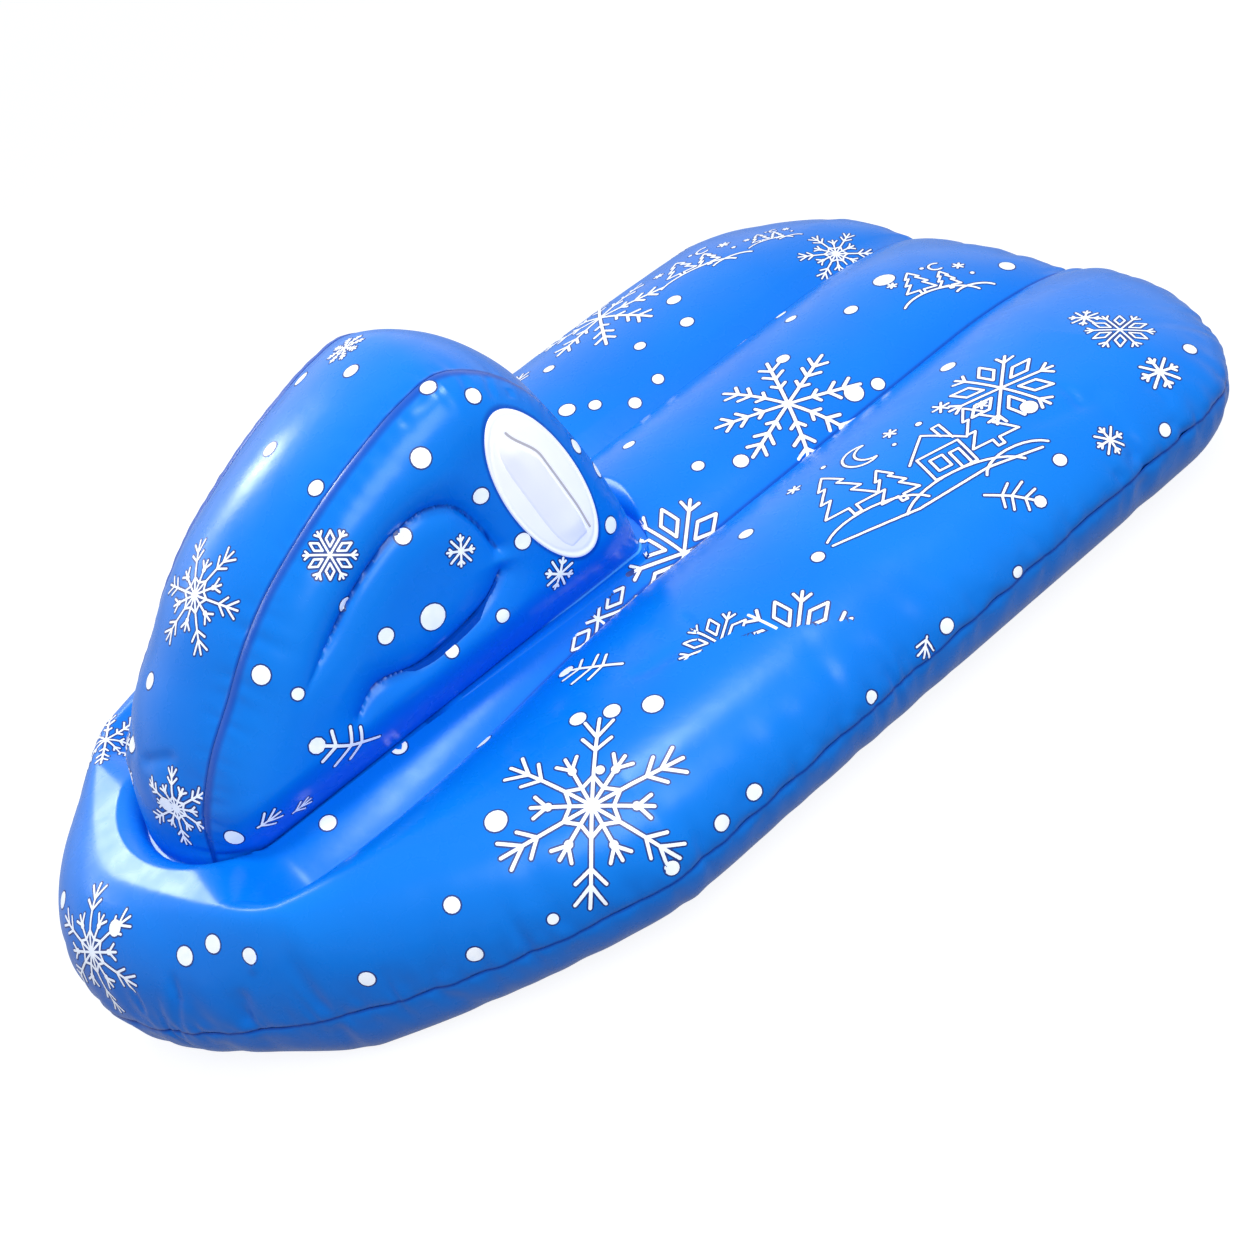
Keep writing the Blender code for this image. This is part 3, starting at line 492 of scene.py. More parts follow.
def cowl_line(shares):
    table = np.array(shares)
    return np.stack([COWL_FRONT_Y + COWL_LENGTH * table[:, 0], SKIN_FOOT_Z + COWL_HEIGHT * table[:, 1]], -1)


def along_curve(points, shares):
    """Points on a smooth curve through the given ones, at shares of its length."""
    steps = np.linalg.norm(np.diff(points, axis=0), axis=1)
    knots = np.concatenate([[0], np.cumsum(steps)]) / steps.sum()
    slopes = np.gradient(points, knots, axis=0)
    shares = np.asarray(shares)
    spot = np.clip(np.searchsorted(knots, shares, side="right") - 1, 0, len(knots) - 2)
    span = (knots[spot + 1] - knots[spot])[:, None]
    t = (shares - knots[spot])[:, None] / span
    return (
        (2 * t**3 - 3 * t**2 + 1) * points[spot]
        + (t**3 - 2 * t**2 + t) * span * slopes[spot]
        + (3 * t**2 - 2 * t**3) * points[spot + 1]
        + (t**3 - t**2) * span * slopes[spot + 1]
    )


def strip_half_width(share):
    front = smooth(0, STRIP_TAPER_SHARE, share)
    rear = smooth(0, STRIP_TAPER_SHARE, 1 - share)
    return STRIP_FOOT_HALF_WIDTH + (STRIP_HALF_WIDTH - STRIP_FOOT_HALF_WIDTH) * front * rear


def strip_bulge(share):
    return STRIP_BULGE + (CROWN_BULGE - STRIP_BULGE) * smooth(*CROWN_BULGE_SHARES, share)


def side_points():
    """Columns of points up the cowl's left panel, with their distance from its seam and place along it."""
    rows, columns = SIDE_GRID
    shares = np.linspace(0, 1, rows)
    seam = along_curve(cowl_line(COWL_OUTLINE_SHARES), shares)
    rise = (1 - np.cos(np.linspace(0, math.pi, columns))) / 2
    top = np.maximum(seam[:, 1], SKIN_FOOT_Z + SIDE_LEAST_HEIGHT)
    y = np.repeat(seam[:, :1], columns, 1)
    z = SKIN_FOOT_Z + (top[:, None] - SKIN_FOOT_Z) * rise
    strip_x = strip_half_width(shares)
    foot_x = np.maximum(strip_x, foot_half_width(seam[:, 0]))
    foot_x[[0, -1]] = strip_x[[0, -1]]
    edge_x = foot_x[:, None] + (strip_x - foot_x)[:, None] * rise
    outline = along_curve(cowl_line(COWL_OUTLINE_SHARES), np.linspace(0, 1, CURVE_POINTS))
    spots = np.stack([y, z], -1)
    away, along = nearest_on(outline, spots)
    swell = quarter(away / SIDE_ROUND_TOP) * quarter((z - SKIN_FOOT_Z) / SIDE_ROUND_FOOT)
    ties = [
        nearest_on(along_curve(cowl_line(line), np.linspace(0, 1, TIE_POINTS)), spots)[0]
        for line in (UPPER_TIE_SHARES, LOWER_TIE_SHARES)
    ]
    held = smooth(*TIE_FADE_SHARES, (y - COWL_FRONT_Y) / COWL_LENGTH)
    near = np.hypot(np.minimum(*ties), TIE_SOFT) - TIE_SOFT
    pull = TIE_PULL * held * (1 - quarter(near / TIE_REACH))
    low = LOW_BULGE_SHARE + (1 - LOW_BULGE_SHARE) * smooth(0, LOW_BULGE_HEIGHT, z - SKIN_FOOT_Z)
    flange = FLANGE * smooth(*FLANGE_FADE_Y, y) * (1 - smooth(0, FLANGE_HEIGHT, z - SKIN_FOOT_Z))
    flange[[0, -1]] = 0
    x = edge_x + swell * (SIDE_BULGE * low - pull) + flange
    pressed = np.minimum(away, np.minimum(*ties) + TIE_LINE_FADE * (1 - held))
    return np.stack([x, y, z], -1), away, along, pressed


def strip_points():
    """Rows of points across the cowl's strip, with their distance from its seams and place along it."""
    rows, columns = STRIP_GRID
    shares = np.linspace(0, 1, rows)
    seam = along_curve(cowl_line(COWL_OUTLINE_SHARES), shares)
    slope = np.gradient(seam, axis=0)
    slope /= np.linalg.norm(slope, axis=1)[:, None]
    outward = np.stack([-slope[:, 1], slope[:, 0]], -1)
    across = np.sin(np.linspace(-math.pi / 2, math.pi / 2, columns))
    swell = strip_bulge(shares)[:, None] * (1 - across**2)
    half = strip_half_width(shares)[:, None]
    points = np.empty((rows, columns, 3))
    points[..., 0] = (half - WELD_GAP) * across
    points[..., 1:] = seam[:, None] + outward[:, None] * swell[..., None]
    points[[0, -1], :, 2] = SKIN_FOOT_Z
    along = np.concatenate([[0], np.cumsum(np.linalg.norm(np.diff(seam, axis=0), axis=1))])
    return points, half * (1 - np.abs(across)), np.repeat(along[:, None], columns, 1)


def grid_normals(points):
    """Unit normals of a grid of points, by the steps along its rows and columns."""
    down, across = np.gradient(points, axis=0), np.gradient(points, axis=1)
    normal = np.cross(down, across)
    length = np.linalg.norm(normal, axis=-1, keepdims=True)
    return normal / np.maximum(length, TINY)


def folds(length, seed, spacing, reach, depth, width):
    """Random folds that run away from a weld: place, reach, depth, width and slant of each."""
    rng = random.Random(seed)
    least, more = FOLD_DEPTH_SHARES
    made, place = [], rng.uniform(0, spacing)
    while place < length:
        size = rng.random() ** FOLD_SIZE_POWER
        made.append((
            place,
            reach[0] + (reach[1] - reach[0]) * size,
            (depth[0] + (depth[1] - depth[0]) * rng.random()) * (least + more * size),
            width[0] + (width[1] - width[0]) * rng.random(),
            rng.uniform(-FOLD_SLANT, FOLD_SLANT),
        ))
        place += spacing * rng.uniform(*FOLD_STEPS)
    return made


def fold_depth(made, along, away):
    """Depth of the folds at each point: round valleys, deepest close to the weld, that widen and fade."""
    deep = np.zeros(np.shape(along))
    for place, reach, depth, width, slant in made:
        near = (np.abs(along - place) < FOLD_BAND[0] * width + FOLD_BAND[1] * reach) & (away < reach)
        if not near.any():
            continue
        share = away[near] / reach
        off = (along[near] - place - slant * away[near]) / (width * (1 + FOLD_WIDENING * share))
        deep[near] += depth * (1 - share) ** FOLD_FADE[0] * (1 + FOLD_FADE[1] * share) * np.exp(-off * off)
    return deep


def pixel_ray(u, v):
    """Direction from the camera through a pixel of the picture."""
    right, up, back = camera_axes()
    return (right * (u - PICTURE / 2) / FOCAL - up * (v - PICTURE / 2) / FOCAL - back).normalized()


def picture_line(surface, pixels):
    """Points on a surface that the picture shows at the given pixels."""
    spots = [surface.ray_cast(Vector(CAMERA_PLACE), pixel_ray(u, v))[0] for u, v in pixels]
    return np.array([tuple(spot) for spot in spots if spot])


def crease_depth(points, node):
    """Depth that the creases of a CAD node's skin have at each point, alike on both sides of the sled."""
    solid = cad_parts[node]
    surface = BVHTree.FromPolygons(
        [solid.matrix_world @ v.co for v in solid.data.vertices], [tuple(p.vertices) for p in solid.data.polygons]
    )
    deep = np.zeros(points.shape[:-1])
    for width, depth, *pixels in CREASES.get(node, ()):
        crease = picture_line(surface, pixels)
        for side in (1, -1):
            line, band = crease * (side, 1, 1), CREASE_BAND * width
            near = ((points > line.min(0) - band) & (points < line.max(0) + band)).all(-1)
            gap, along = nearest_on(line, points[near])
            along /= np.linalg.norm(np.diff(line, axis=0), axis=1).sum()
            ends = smooth(0, CREASE_END_SHARE, along) * smooth(0, CREASE_END_SHARE, 1 - along)
            deep[near] += depth * ends * np.exp(-((gap / width) ** 2))
    return deep


def deselect():
    if bpy.context.object and bpy.context.object.mode != "OBJECT":
        bpy.ops.object.mode_set(mode="OBJECT")
    bpy.ops.object.select_all(action="DESELECT")


def only(obj):
    deselect()
    obj.select_set(True)
    bpy.context.view_layer.objects.active = obj
    return obj


def modified(obj, kind, **settings):
    """Adds a modifier to an object and applies it."""
    only(obj)
    bpy.ops.object.modifier_add(type=kind)
    modifier = obj.modifiers[-1]
    for name, value in settings.items():
        setattr(modifier, name, value)
    bpy.ops.object.modifier_apply(modifier=modifier.name)
    return obj


def shaped_grid(name, points, outward=None, centre=None):
    """A grid primitive whose points are set to a surface, faces turned a given way or away from a centre."""
    rows, columns = points.shape[:2]
    deselect()
    bpy.ops.mesh.primitive_grid_add(x_subdivisions=columns - 1, y_subdivisions=rows - 1, size=1)
    obj = bpy.context.object
    obj.name = obj.data.name = name
    obj.data.vertices.foreach_set("co", points.reshape(-1).astype(np.float32))
    obj.data.update()
    lean = sum(p.normal.dot(outward or p.center - centre) * p.area for p in obj.data.polygons)
    if lean < 0:
        bpy.ops.object.mode_set(mode="EDIT")
        bpy.ops.mesh.select_all(action="SELECT")
        bpy.ops.mesh.flip_normals()
        bpy.ops.object.mode_set(mode="OBJECT")
    return obj


def smoothed(obj, degrees):
    """Shades an object smooth, but for edges sharper than an angle."""
    only(obj)
    bpy.ops.object.shade_smooth_by_angle(angle=math.radians(degrees))
    return obj


def add_attribute(obj, name, values):
    """Gives each point of a grid a number that materials can read."""
    attribute = obj.data.attributes.new(name, "FLOAT", "POINT")
    attribute.data.foreach_set("value", values.reshape(-1).astype(np.float32))


def finish_skin(obj, away, hole=None):
    """Weld attribute, valve hole, sheet thickness and smooth shading of a skin."""
    SURFACES[obj.name] = BVHTree.FromPolygons(
        [tuple(v.co) for v in obj.data.vertices], [tuple(p.vertices) for p in obj.data.polygons]
    )
    # The weld attribute is the distance to the welds, the seam valleys and the handle plate's edge, along which the
    # film paints shade
    add_attribute(obj, "weld", away)
    if hole is not None:
        mesh = bmesh.new()
        mesh.from_mesh(obj.data)
        under_valve = [f for f in mesh.faces if (f.calc_center_median() - hole).length < VALVE_HOLE]
        bmesh.ops.delete(mesh, geom=under_valve, context="FACES")
        mesh.to_mesh(obj.data)
        mesh.free()
    return smoothed(modified(obj, "SOLIDIFY", thickness=SKIN, offset=-1), 62)


def handle_spot(y, z):
    """Shares of the plate's half length and half width at which a point lies from its middle."""
    cos, sin = math.cos(HANDLE_LEAN), math.sin(HANDLE_LEAN)
    along = -(y - HANDLE_Y) * sin + (z - HANDLE_Z) * cos
    across = (y - HANDLE_Y) * cos + (z - HANDLE_Z) * sin
    return along / PATCH_HALF_LENGTH, across / PATCH_HALF_WIDTH


def base_valve_place():
    seam = seam_x(BASE_VALVE_Y)
    reach = (half_width(BASE_VALVE_Y) - seam) / (1 + ROUND_SHARE)
    cos, sin = math.cos(BASE_VALVE_ANGLE), math.sin(BASE_VALVE_ANGLE)
    weld = weld_z(BASE_VALVE_Y)
    height = MID_Z + HALF_HEIGHT - weld
    return Vector((-seam - reach * (ROUND_SHARE + cos), BASE_VALVE_Y, weld + WELD_GAP / 2 + height * sin))


def cowl_valve_place():
    step = 1 / CURVE_POINTS
    before, spot, after = along_curve(
        cowl_line(COWL_OUTLINE_SHARES), [COWL_VALVE_SHARE - step, COWL_VALVE_SHARE, COWL_VALVE_SHARE + step]
    )
    slope = (after - before) / np.linalg.norm(after - before)
    return Vector((0, *spot)) + Vector((0, -slope[1], slope[0])) * strip_bulge(COWL_VALVE_SHARE)


def camera_axes():
    """Directions to the right, up and back towards the camera, as it is rolled."""
    a, e, r = CAMERA_AZIMUTH, CAMERA_ELEVATION, CAMERA_ROLL
    back = Vector((math.sin(a) * math.cos(e), -math.cos(a) * math.cos(e), math.sin(e)))
    right = (-back).cross(Vector((0, 0, 1))).normalized()
    up = right.cross(-back)
    return math.cos(r) * right - math.sin(r) * up, math.sin(r) * right + math.cos(r) * up, back


def add_node(tree, kind, settings=None, links=None):
    """A node of a kind, with its settings and, by name or place, the sockets or values that feed its inputs."""
    node = tree.nodes.new(kind)
    for name, value in (settings or {}).items():
        setattr(node, name, value)
    for name, value in (links or {}).items():
        socket = node.inputs[name]
        if isinstance(value, bpy.types.NodeSocket):
            tree.links.new(value, socket)
        else:
            socket.default_value = value
    return node


def new_material(name):
    material = bpy.data.materials.new(name)
    material.use_nodes = True
    tree = material.node_tree
    return material, tree, tree.nodes["Principled BSDF"]


def seen_rays(tree, value, mirrored=1.0):
    """Socket that is a value for the camera's rays and those through glass, a share of it in mirrors, or else 0."""
    path = add_node(tree, "ShaderNodeLightPath")
    total = path.outputs["Is Camera Ray"]
    for name, share in (("Is Glossy Ray", mirrored), ("Is Transmission Ray", 1.0)):
        total = add_node(
            tree, "ShaderNodeMath", {"operation": "MULTIPLY_ADD", "use_clamp": True},
            {0: path.outputs[name], 1: share, 2: total},
        ).outputs[0]
    return add_node(tree, "ShaderNodeMath", {"operation": "MULTIPLY"}, {0: total, 1: value}).outputs[0]


def mottled(name, colours, colour_scale, roughness, rough_scale, detail=2.0, grain=None, glow=None, clear=0.0):
    """A finish whose colour and roughness drift in clouds between two values, over a fine raised grain.

    Scales are in clouds per metre of the piece, and detail is that of the roughness. Grain is a scale, a detail,
    a strength and a height, glow a colour and a strength, and clear is how much light goes through.
    """
    material, tree, shader = new_material(name)
    place = add_node(tree, "ShaderNodeTexCoord").outputs["Object"]
    clouds = add_node(tree, "ShaderNodeTexNoise", None, {"Vector": place, "Scale": colour_scale}).outputs["Fac"]
    share = add_node(tree, "ShaderNodeMapRange", None, {"Value": clouds, **CLOUD_RANGE}).outputs["Result"]
    ends = {"Factor": share, MIX_FIRST: colours[0], MIX_SECOND: colours[1]}
    colour = add_node(tree, "ShaderNodeMix", {"data_type": "RGBA"}, ends).outputs[MIX_RESULT]
    tree.links.new(colour, shader.inputs["Base Color"])
    clouds = add_node(
        tree, "ShaderNodeTexNoise", None, {"Vector": place, "Scale": rough_scale, "Detail": detail}
    ).outputs["Fac"]
    ends = {"Value": clouds, **CLOUD_RANGE, "To Min": roughness[0], "To Max": roughness[1]}
    rough = add_node(tree, "ShaderNodeMapRange", None, ends).outputs["Result"]
    tree.links.new(rough, shader.inputs["Roughness"])
    if grain:
        scale, detail, strength, height = grain
        clouds = add_node(
            tree, "ShaderNodeTexNoise", None, {"Vector": place, "Scale": scale, "Detail": detail}
        ).outputs["Fac"]
        bump = add_node(
            tree, "ShaderNodeBump", None, {"Height": clouds, "Strength": strength, "Distance": height}
        ).outputs["Normal"]
        tree.links.new(bump, shader.inputs["Normal"])
    if glow:
        shader.inputs["Emission Color"].default_value = glow[0]
        shader.inputs["Emission Strength"].default_value = glow[1]
    if clear:
        shader.inputs["Transmission Weight"].default_value = clear
    return material


def lined(material, name, start, end, share, colour):
    """Tints a finish where an attribute is near 0: fully up to the start, by a share, and no more past the end."""
    tree = material.node_tree
    base = tree.nodes["Principled BSDF"].inputs["Base Color"]
    gap = add_node(tree, "ShaderNodeAttribute", {"attribute_name": name}).outputs["Fac"]
    near = add_node(tree, "ShaderNodeMapRange", {"interpolation_type": "SMOOTHSTEP"}, {
        "Value": gap, "From Min": start, "From Max": end, "To Min": share, "To Max": 0.0,
    }).outputs["Result"]
    ends = {"Factor": near, MIX_FIRST: base.links[0].from_socket, MIX_SECOND: colour}
    mix = add_node(tree, "ShaderNodeMix", {"data_type": "RGBA"}, ends)
    tree.links.new(mix.outputs[MIX_RESULT], base)


def glossy_blue_film():
    """Calendered PVC film, pigmented blue.

    Broad, soft, slightly cyan lights over a faint orange peel of 20 mm, colour that drifts over 170 mm, a fine dark
    line at the welds that is painted shade along the seam valleys and round the handle plate, painted shade in a band
    of 30 mm along all of them, and a paler hem that is a painted highlight on the foot weld's flange.
    """
    blue = bpy.context.scene.sled_skins.film_colour
    material = mottled(
        FILM, (blue, linear("#0080EE")), 6.0, (0.24, 0.31), 35.0, detail=3.0, grain=(48.0, 2.0, 0.10, 0.002)
    )
    # Painted shade: darker in a band 30 mm wide along the welds, the seam valleys and the handle plate's edge, then a
    # fine dark line within 3 mm of them, which is the dark weld at the welds and painted shade at the valleys and
    # round the plate
    lined(material, "weld", 0.001, 0.030, 0.55, linear("#0080EC"))
    lined(material, "weld", 0.0006, 0.0030, 0.85, linear("#004CBC"))
    tree = material.node_tree
    shader = tree.nodes["Principled BSDF"]
    # Painted highlight: the film is lightened to a pale cyan on the hem of the foot weld's flange
    hem = add_node(tree, "ShaderNodeAttribute", {"attribute_name": "hem"}).outputs["Fac"]
    tone = shader.inputs["Base Color"].links[0].from_socket
    ends = {"Factor": hem, MIX_FIRST: tone, MIX_SECOND: linear("#5CBCFF")}
    mix = add_node(tree, "ShaderNodeMix", {"data_type": "RGBA"}, ends)
    tree.links.new(mix.outputs[MIX_RESULT], shader.inputs["Base Color"])
    shader.inputs["IOR"].default_value = 1.38
    shader.inputs["Specular Tint"].default_value = (0.70, 0.94, 1.0, 1.0)
    return material


def white_ink():
    """Screen-printed white vinyl ink: matter than the film, with thinner spots of 7 mm that look a little blue."""
    white = bpy.context.scene.sled_prints.ink_colour
    # Painted glow: the ink gives off a faint white light of its own, so that it stays white in shade
    return mottled(
        "screen_printed_white_ink", (white, linear("#E6F0FB")), 140.0, (0.34, 0.48), 600.0, glow=(WHITE, 0.30)
    )


def deep_ink():
    """Dark blue trapping ink, screen-printed, that shows as a fine rim round the white print."""
    rim = bpy.context.scene.sled_prints.rim_colour
    return mottled("screen_printed_deep_blue_ink", (rim, linear("#083E92")), 140.0, (0.34, 0.46), 600.0)


def white_plate_vinyl():
    """White PVC sheet, embossed matt: soft lights, a grain drawn at 0.7 mm so that it shows, a painted shadow line
    beside the strap's rear edge, and a painted glow.
    """
    white = bpy.context.scene.sled_handles.plate_colour
    # Painted glow: the plate gives off a faint white light of its own, so that it stays white in shade
    material = mottled(
        "embossed_white_pvc_plate", (white, linear("#F4F3F8")), 30.0, (0.38, 0.50), 900.0,
        grain=(1500.0, 1.0, 0.06, 0.0005), glow=(WHITE, 0.28),
    )
    # Painted shadow: a grey-lavender line on the plate just beside the strap's rear edge, where the strap's shadow
    # and the gap under it fall
    lined(material, "slit", 0.0006, 0.0018, 1.0, linear("#7E7A8C"))
    return material


def white_strap_vinyl():
    """Thicker white PVC strap, softly matt with a grain of 0.8 mm, and a touch greyer than the plate."""
    white = bpy.context.scene.sled_handles.strap_colour
    # Painted glow: the strap gives off a faint white light of its own, so that it stays white in shade
    return mottled(
        "soft_white_pvc_strap", (white, linear("#EDECF4")), 40.0, (0.40, 0.52), 700.0,
        grain=(1200.0, 1.0, 0.08, 0.0005), glow=(WHITE, 0.26),
    )


def clear_valve_pvc():
    """Soft clear PVC, moulded: milky, lets some light through, smooth lights with mould marks of 2.5 mm."""
    # Painted glow: a faint milky blue light of its own, besides the light it lets through
    return mottled(
        "moulded_clear_soft_pvc", (linear("#F4F8FC"), linear("#E4ECF6")), 90.0, (0.22, 0.36), 300.0,
        grain=(400.0, 1.0, 0.05, 0.0005), glow=MILKY_PAINTED_GLOW, clear=0.12,
    )


def clear_flap_pvc():
    """Thin clear PVC sheet, punched: duller than the moulding, with a slight blue cast."""
    # Painted glow: a faint milky blue light of its own, besides the light it lets through
    return mottled(
        "thin_clear_pvc_flap", (linear("#DCE6F4"), linear("#CCDAEE")), 120.0, (0.35, 0.50), 300.0,
        glow=MILKY_PAINTED_GLOW, clear=0.12,
    )


class SledSkinSettings(bpy.types.PropertyGroup):
    """Colour and folds of the air skins."""

    film_colour: bpy.props.FloatVectorProperty(
        name="Film colour", description="Colour of the blue film", subtype="COLOR", size=4,
        min=0.0, max=1.0, default=linear("#0488F4"),
    )
    pucker_depth: bpy.props.FloatProperty(
        name="Pucker depth", description="Depth of the deepest folds along the rim weld",
        default=0.0042, min=0.0, unit="LENGTH",
    )
    pucker_spacing: bpy.props.FloatProperty(
        name="Pucker spacing", description="Mean distance between folds along the rim weld",
        default=0.017, min=0.004, unit="LENGTH",
    )
    weld_notch: bpy.props.FloatProperty(
        name="Weld notch", description="How far the rim weld is drawn in", default=0.0028, min=0.0, unit="LENGTH",
    )


class SledPrintSettings(bpy.types.PropertyGroup):
    """Inks and strokes of the printing."""

    ink_colour: bpy.props.FloatVectorProperty(
        name="Ink colour", description="Colour of the white ink", subtype="COLOR", size=4,
        min=0.0, max=1.0, default=linear("#FBFDFF"),
    )
    rim_colour: bpy.props.FloatVectorProperty(
        name="Rim colour", description="Colour of the ink that rims the white", subtype="COLOR", size=4,
        min=0.0, max=1.0, default=linear("#06347E"),
    )
    ink: bpy.props.FloatProperty(
        name="Ink", description="Thickness of a layer of ink, drawn thicker than real so that it covers",
        default=0.00016, min=0.00002, unit="LENGTH",
    )
    rim: bpy.props.FloatProperty(
        name="Rim", description="Width of the dark rim round the white", default=0.0014, min=0.0, unit="LENGTH",
    )
    weight: bpy.props.FloatProperty(
        name="Weight", description="How many times wider than drawn the strokes are", default=1.12, min=0.1,
    )
    grain: bpy.props.FloatProperty(
        name="Grain", description="Distance between points along a printed line",
        default=0.0026, min=0.001, unit="LENGTH",
    )


class SledHandleSettings(bpy.types.PropertyGroup):
    """Colours and sizes of the grab handles."""

    plate_colour: bpy.props.FloatVectorProperty(
        name="Plate colour", description="Colour of the oval plates", subtype="COLOR", size=4,
        min=0.0, max=1.0, default=linear("#FCFCFF"),
    )
    strap_colour: bpy.props.FloatVectorProperty(
        name="Strap colour", description="Colour of the straps", subtype="COLOR", size=4,
        min=0.0, max=1.0, default=linear("#F8F7FB"),
    )
    plate: bpy.props.FloatProperty(
        name="Plate", description="Height of the plate over the cowl", default=0.0020, min=0.0005, unit="LENGTH",
    )
    strap: bpy.props.FloatProperty(
        name="Strap", description="Thickness of the strap", default=0.0020, min=0.0005, unit="LENGTH",
    )
    strap_rise: bpy.props.FloatProperty(
        name="Strap rise", description="How far the strap arches off the plate",
        default=0.0030, min=0.0, unit="LENGTH",
    )


class StudioSettings(bpy.types.PropertyGroup):
    """Light of the studio."""

    above_power: bpy.props.FloatProperty(
        name="Above power", description="Power of the large soft box over the sled",
        default=23.0, min=0.0, unit="POWER",
    )
    side_power: bpy.props.FloatProperty(
        name="Side power", description="Power of the soft box beside the sled's rear",
        default=24.0, min=0.0, unit="POWER",
    )
    front_power: bpy.props.FloatProperty(
        name="Front power", description="Power of the small soft box ahead of the sled",
        default=5.0, min=0.0, unit="POWER",
    )
    nose_power: bpy.props.FloatProperty(
        name="Nose power", description="Power of the small soft box that lights the top of the nose",
        default=13.0, min=0.0, unit="POWER",
    )
    fill: bpy.props.FloatProperty(
        name="Fill", description="Strength of the even light from all round", default=0.40, min=0.0,
    )
    floor_lift: bpy.props.FloatProperty(
        name="Floor lift", description="Brightness added to the floor as it is seen", default=0.90, min=0.0,
    )


# Surfaces of the skins by piece, for the prints and handles that lie on them
SURFACES = {}
FINISHES = {
    FILM: glossy_blue_film,
    "screen_printed_white_ink": white_ink,
    "screen_printed_deep_blue_ink": deep_ink,
    "embossed_white_pvc_plate": white_plate_vinyl,
    "soft_white_pvc_strap": white_strap_vinyl,
    "moulded_clear_soft_pvc": clear_valve_pvc,
    "thin_clear_pvc_flap": clear_flap_pvc,
}


def coat(obj, finish):
    """Gives an object one finish, made the first time that it is asked for."""
    obj.data.materials.clear()
    obj.data.materials.append(bpy.data.materials.get(finish) or FINISHES[finish]())


def dress(obj, finish, node=None):
    """Gives a piece of the sled its finish, hangs it under the sled's body, and hides the CAD node that it stands
    for.
    """
    coat(obj, finish)
    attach(obj, "sled")
    if node:
        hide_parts(node)


class SLED_OT_base_skins(bpy.types.Operator):
    """Shape the upper and lower skins of the base, puckered along their weld"""

    bl_idname = "sled.base_skins"
    bl_label = "Base Skins"

    def execute(self, context):
        settings = context.scene.sled_skins
        plan = base_plan(TOP_ROWS, TOP_COLUMNS)
        rim = rim_of(plan)
        length = np.linalg.norm(np.diff(rim, axis=0), axis=1).sum()
        seed, reach, least, width = FINE_FOLDS
        fine = folds(length, seed, settings.pucker_spacing, reach, (least, settings.pucker_depth), width)
        long = folds(length, *LONG_FOLDS)
        for name, node, up, height, counts in (
            ("base_top_panel", "base_top_skin", 1, top_z, (TOP_ROWS, TOP_COLUMNS)),
            ("base_bottom_panel", "base_bottom_skin", -1, bottom_z, (BOTTOM_ROWS, BOTTOM_COLUMNS)),
        ):
            plan = base_plan(*counts)
            x, y = plan[..., 0], plan[..., 1]
            away, along = nearest_on(rim, plan)
            z = height(x, y, away)
            for edge in (np.s_[0], np.s_[-1], np.s_[:, 0], np.s_[:, -1]):
                away[edge] = 0
                z[edge] = weld_z(y[edge]) + up * WELD_GAP / 2
            points = np.stack([x, y, z], -1)
            normal = grid_normals(points)
            normal *= np.sign(normal[..., 2:3] + TINY) * up
            climb = np.hypot(away, z - weld_z(y))
            sink = fold_depth(fine, along, climb) * smooth(*FINE_FOLD_START, climb)
            sink += fold_depth(long, along, climb) * smooth(*LONG_FOLD_START, climb)
            sink += crease_depth(points, node)
            points -= normal * sink[..., None]
            middle = np.stack([np.zeros_like(x), np.clip(y, NOSE_Y + MIDDLE_MARGIN, REAR_Y - MIDDLE_MARGIN)], -1)
            inward = middle - points[..., :2]
            inward /= np.maximum(np.linalg.norm(inward, axis=-1, keepdims=True), TINY)
            wave = 1 + 0.5 * np.sin(along / WELD_WAVES[0] + 2 * np.sin(along / WELD_WAVES[1]))
            drawn_in = settings.weld_notch * wave * np.exp(-climb / WELD_NOTCH_REACH)
            points[..., :2] += inward * drawn_in[..., None]
            # Distance to the seam valleys, which joins the weld attribute so that the film paints shade along them
            seam_gap = np.where((y > SEAM_FADE_REAR_Y) & (up > 0), np.abs(np.abs(x) - seam_x(y)), 1.0)
            skin = shaped_grid(name, points, Vector((0, 0, up)))
            finish_skin(skin, np.minimum(climb, seam_gap), base_valve_place() if up > 0 else None)
            dress(skin, FILM, node)
        return {"FINISHED"}


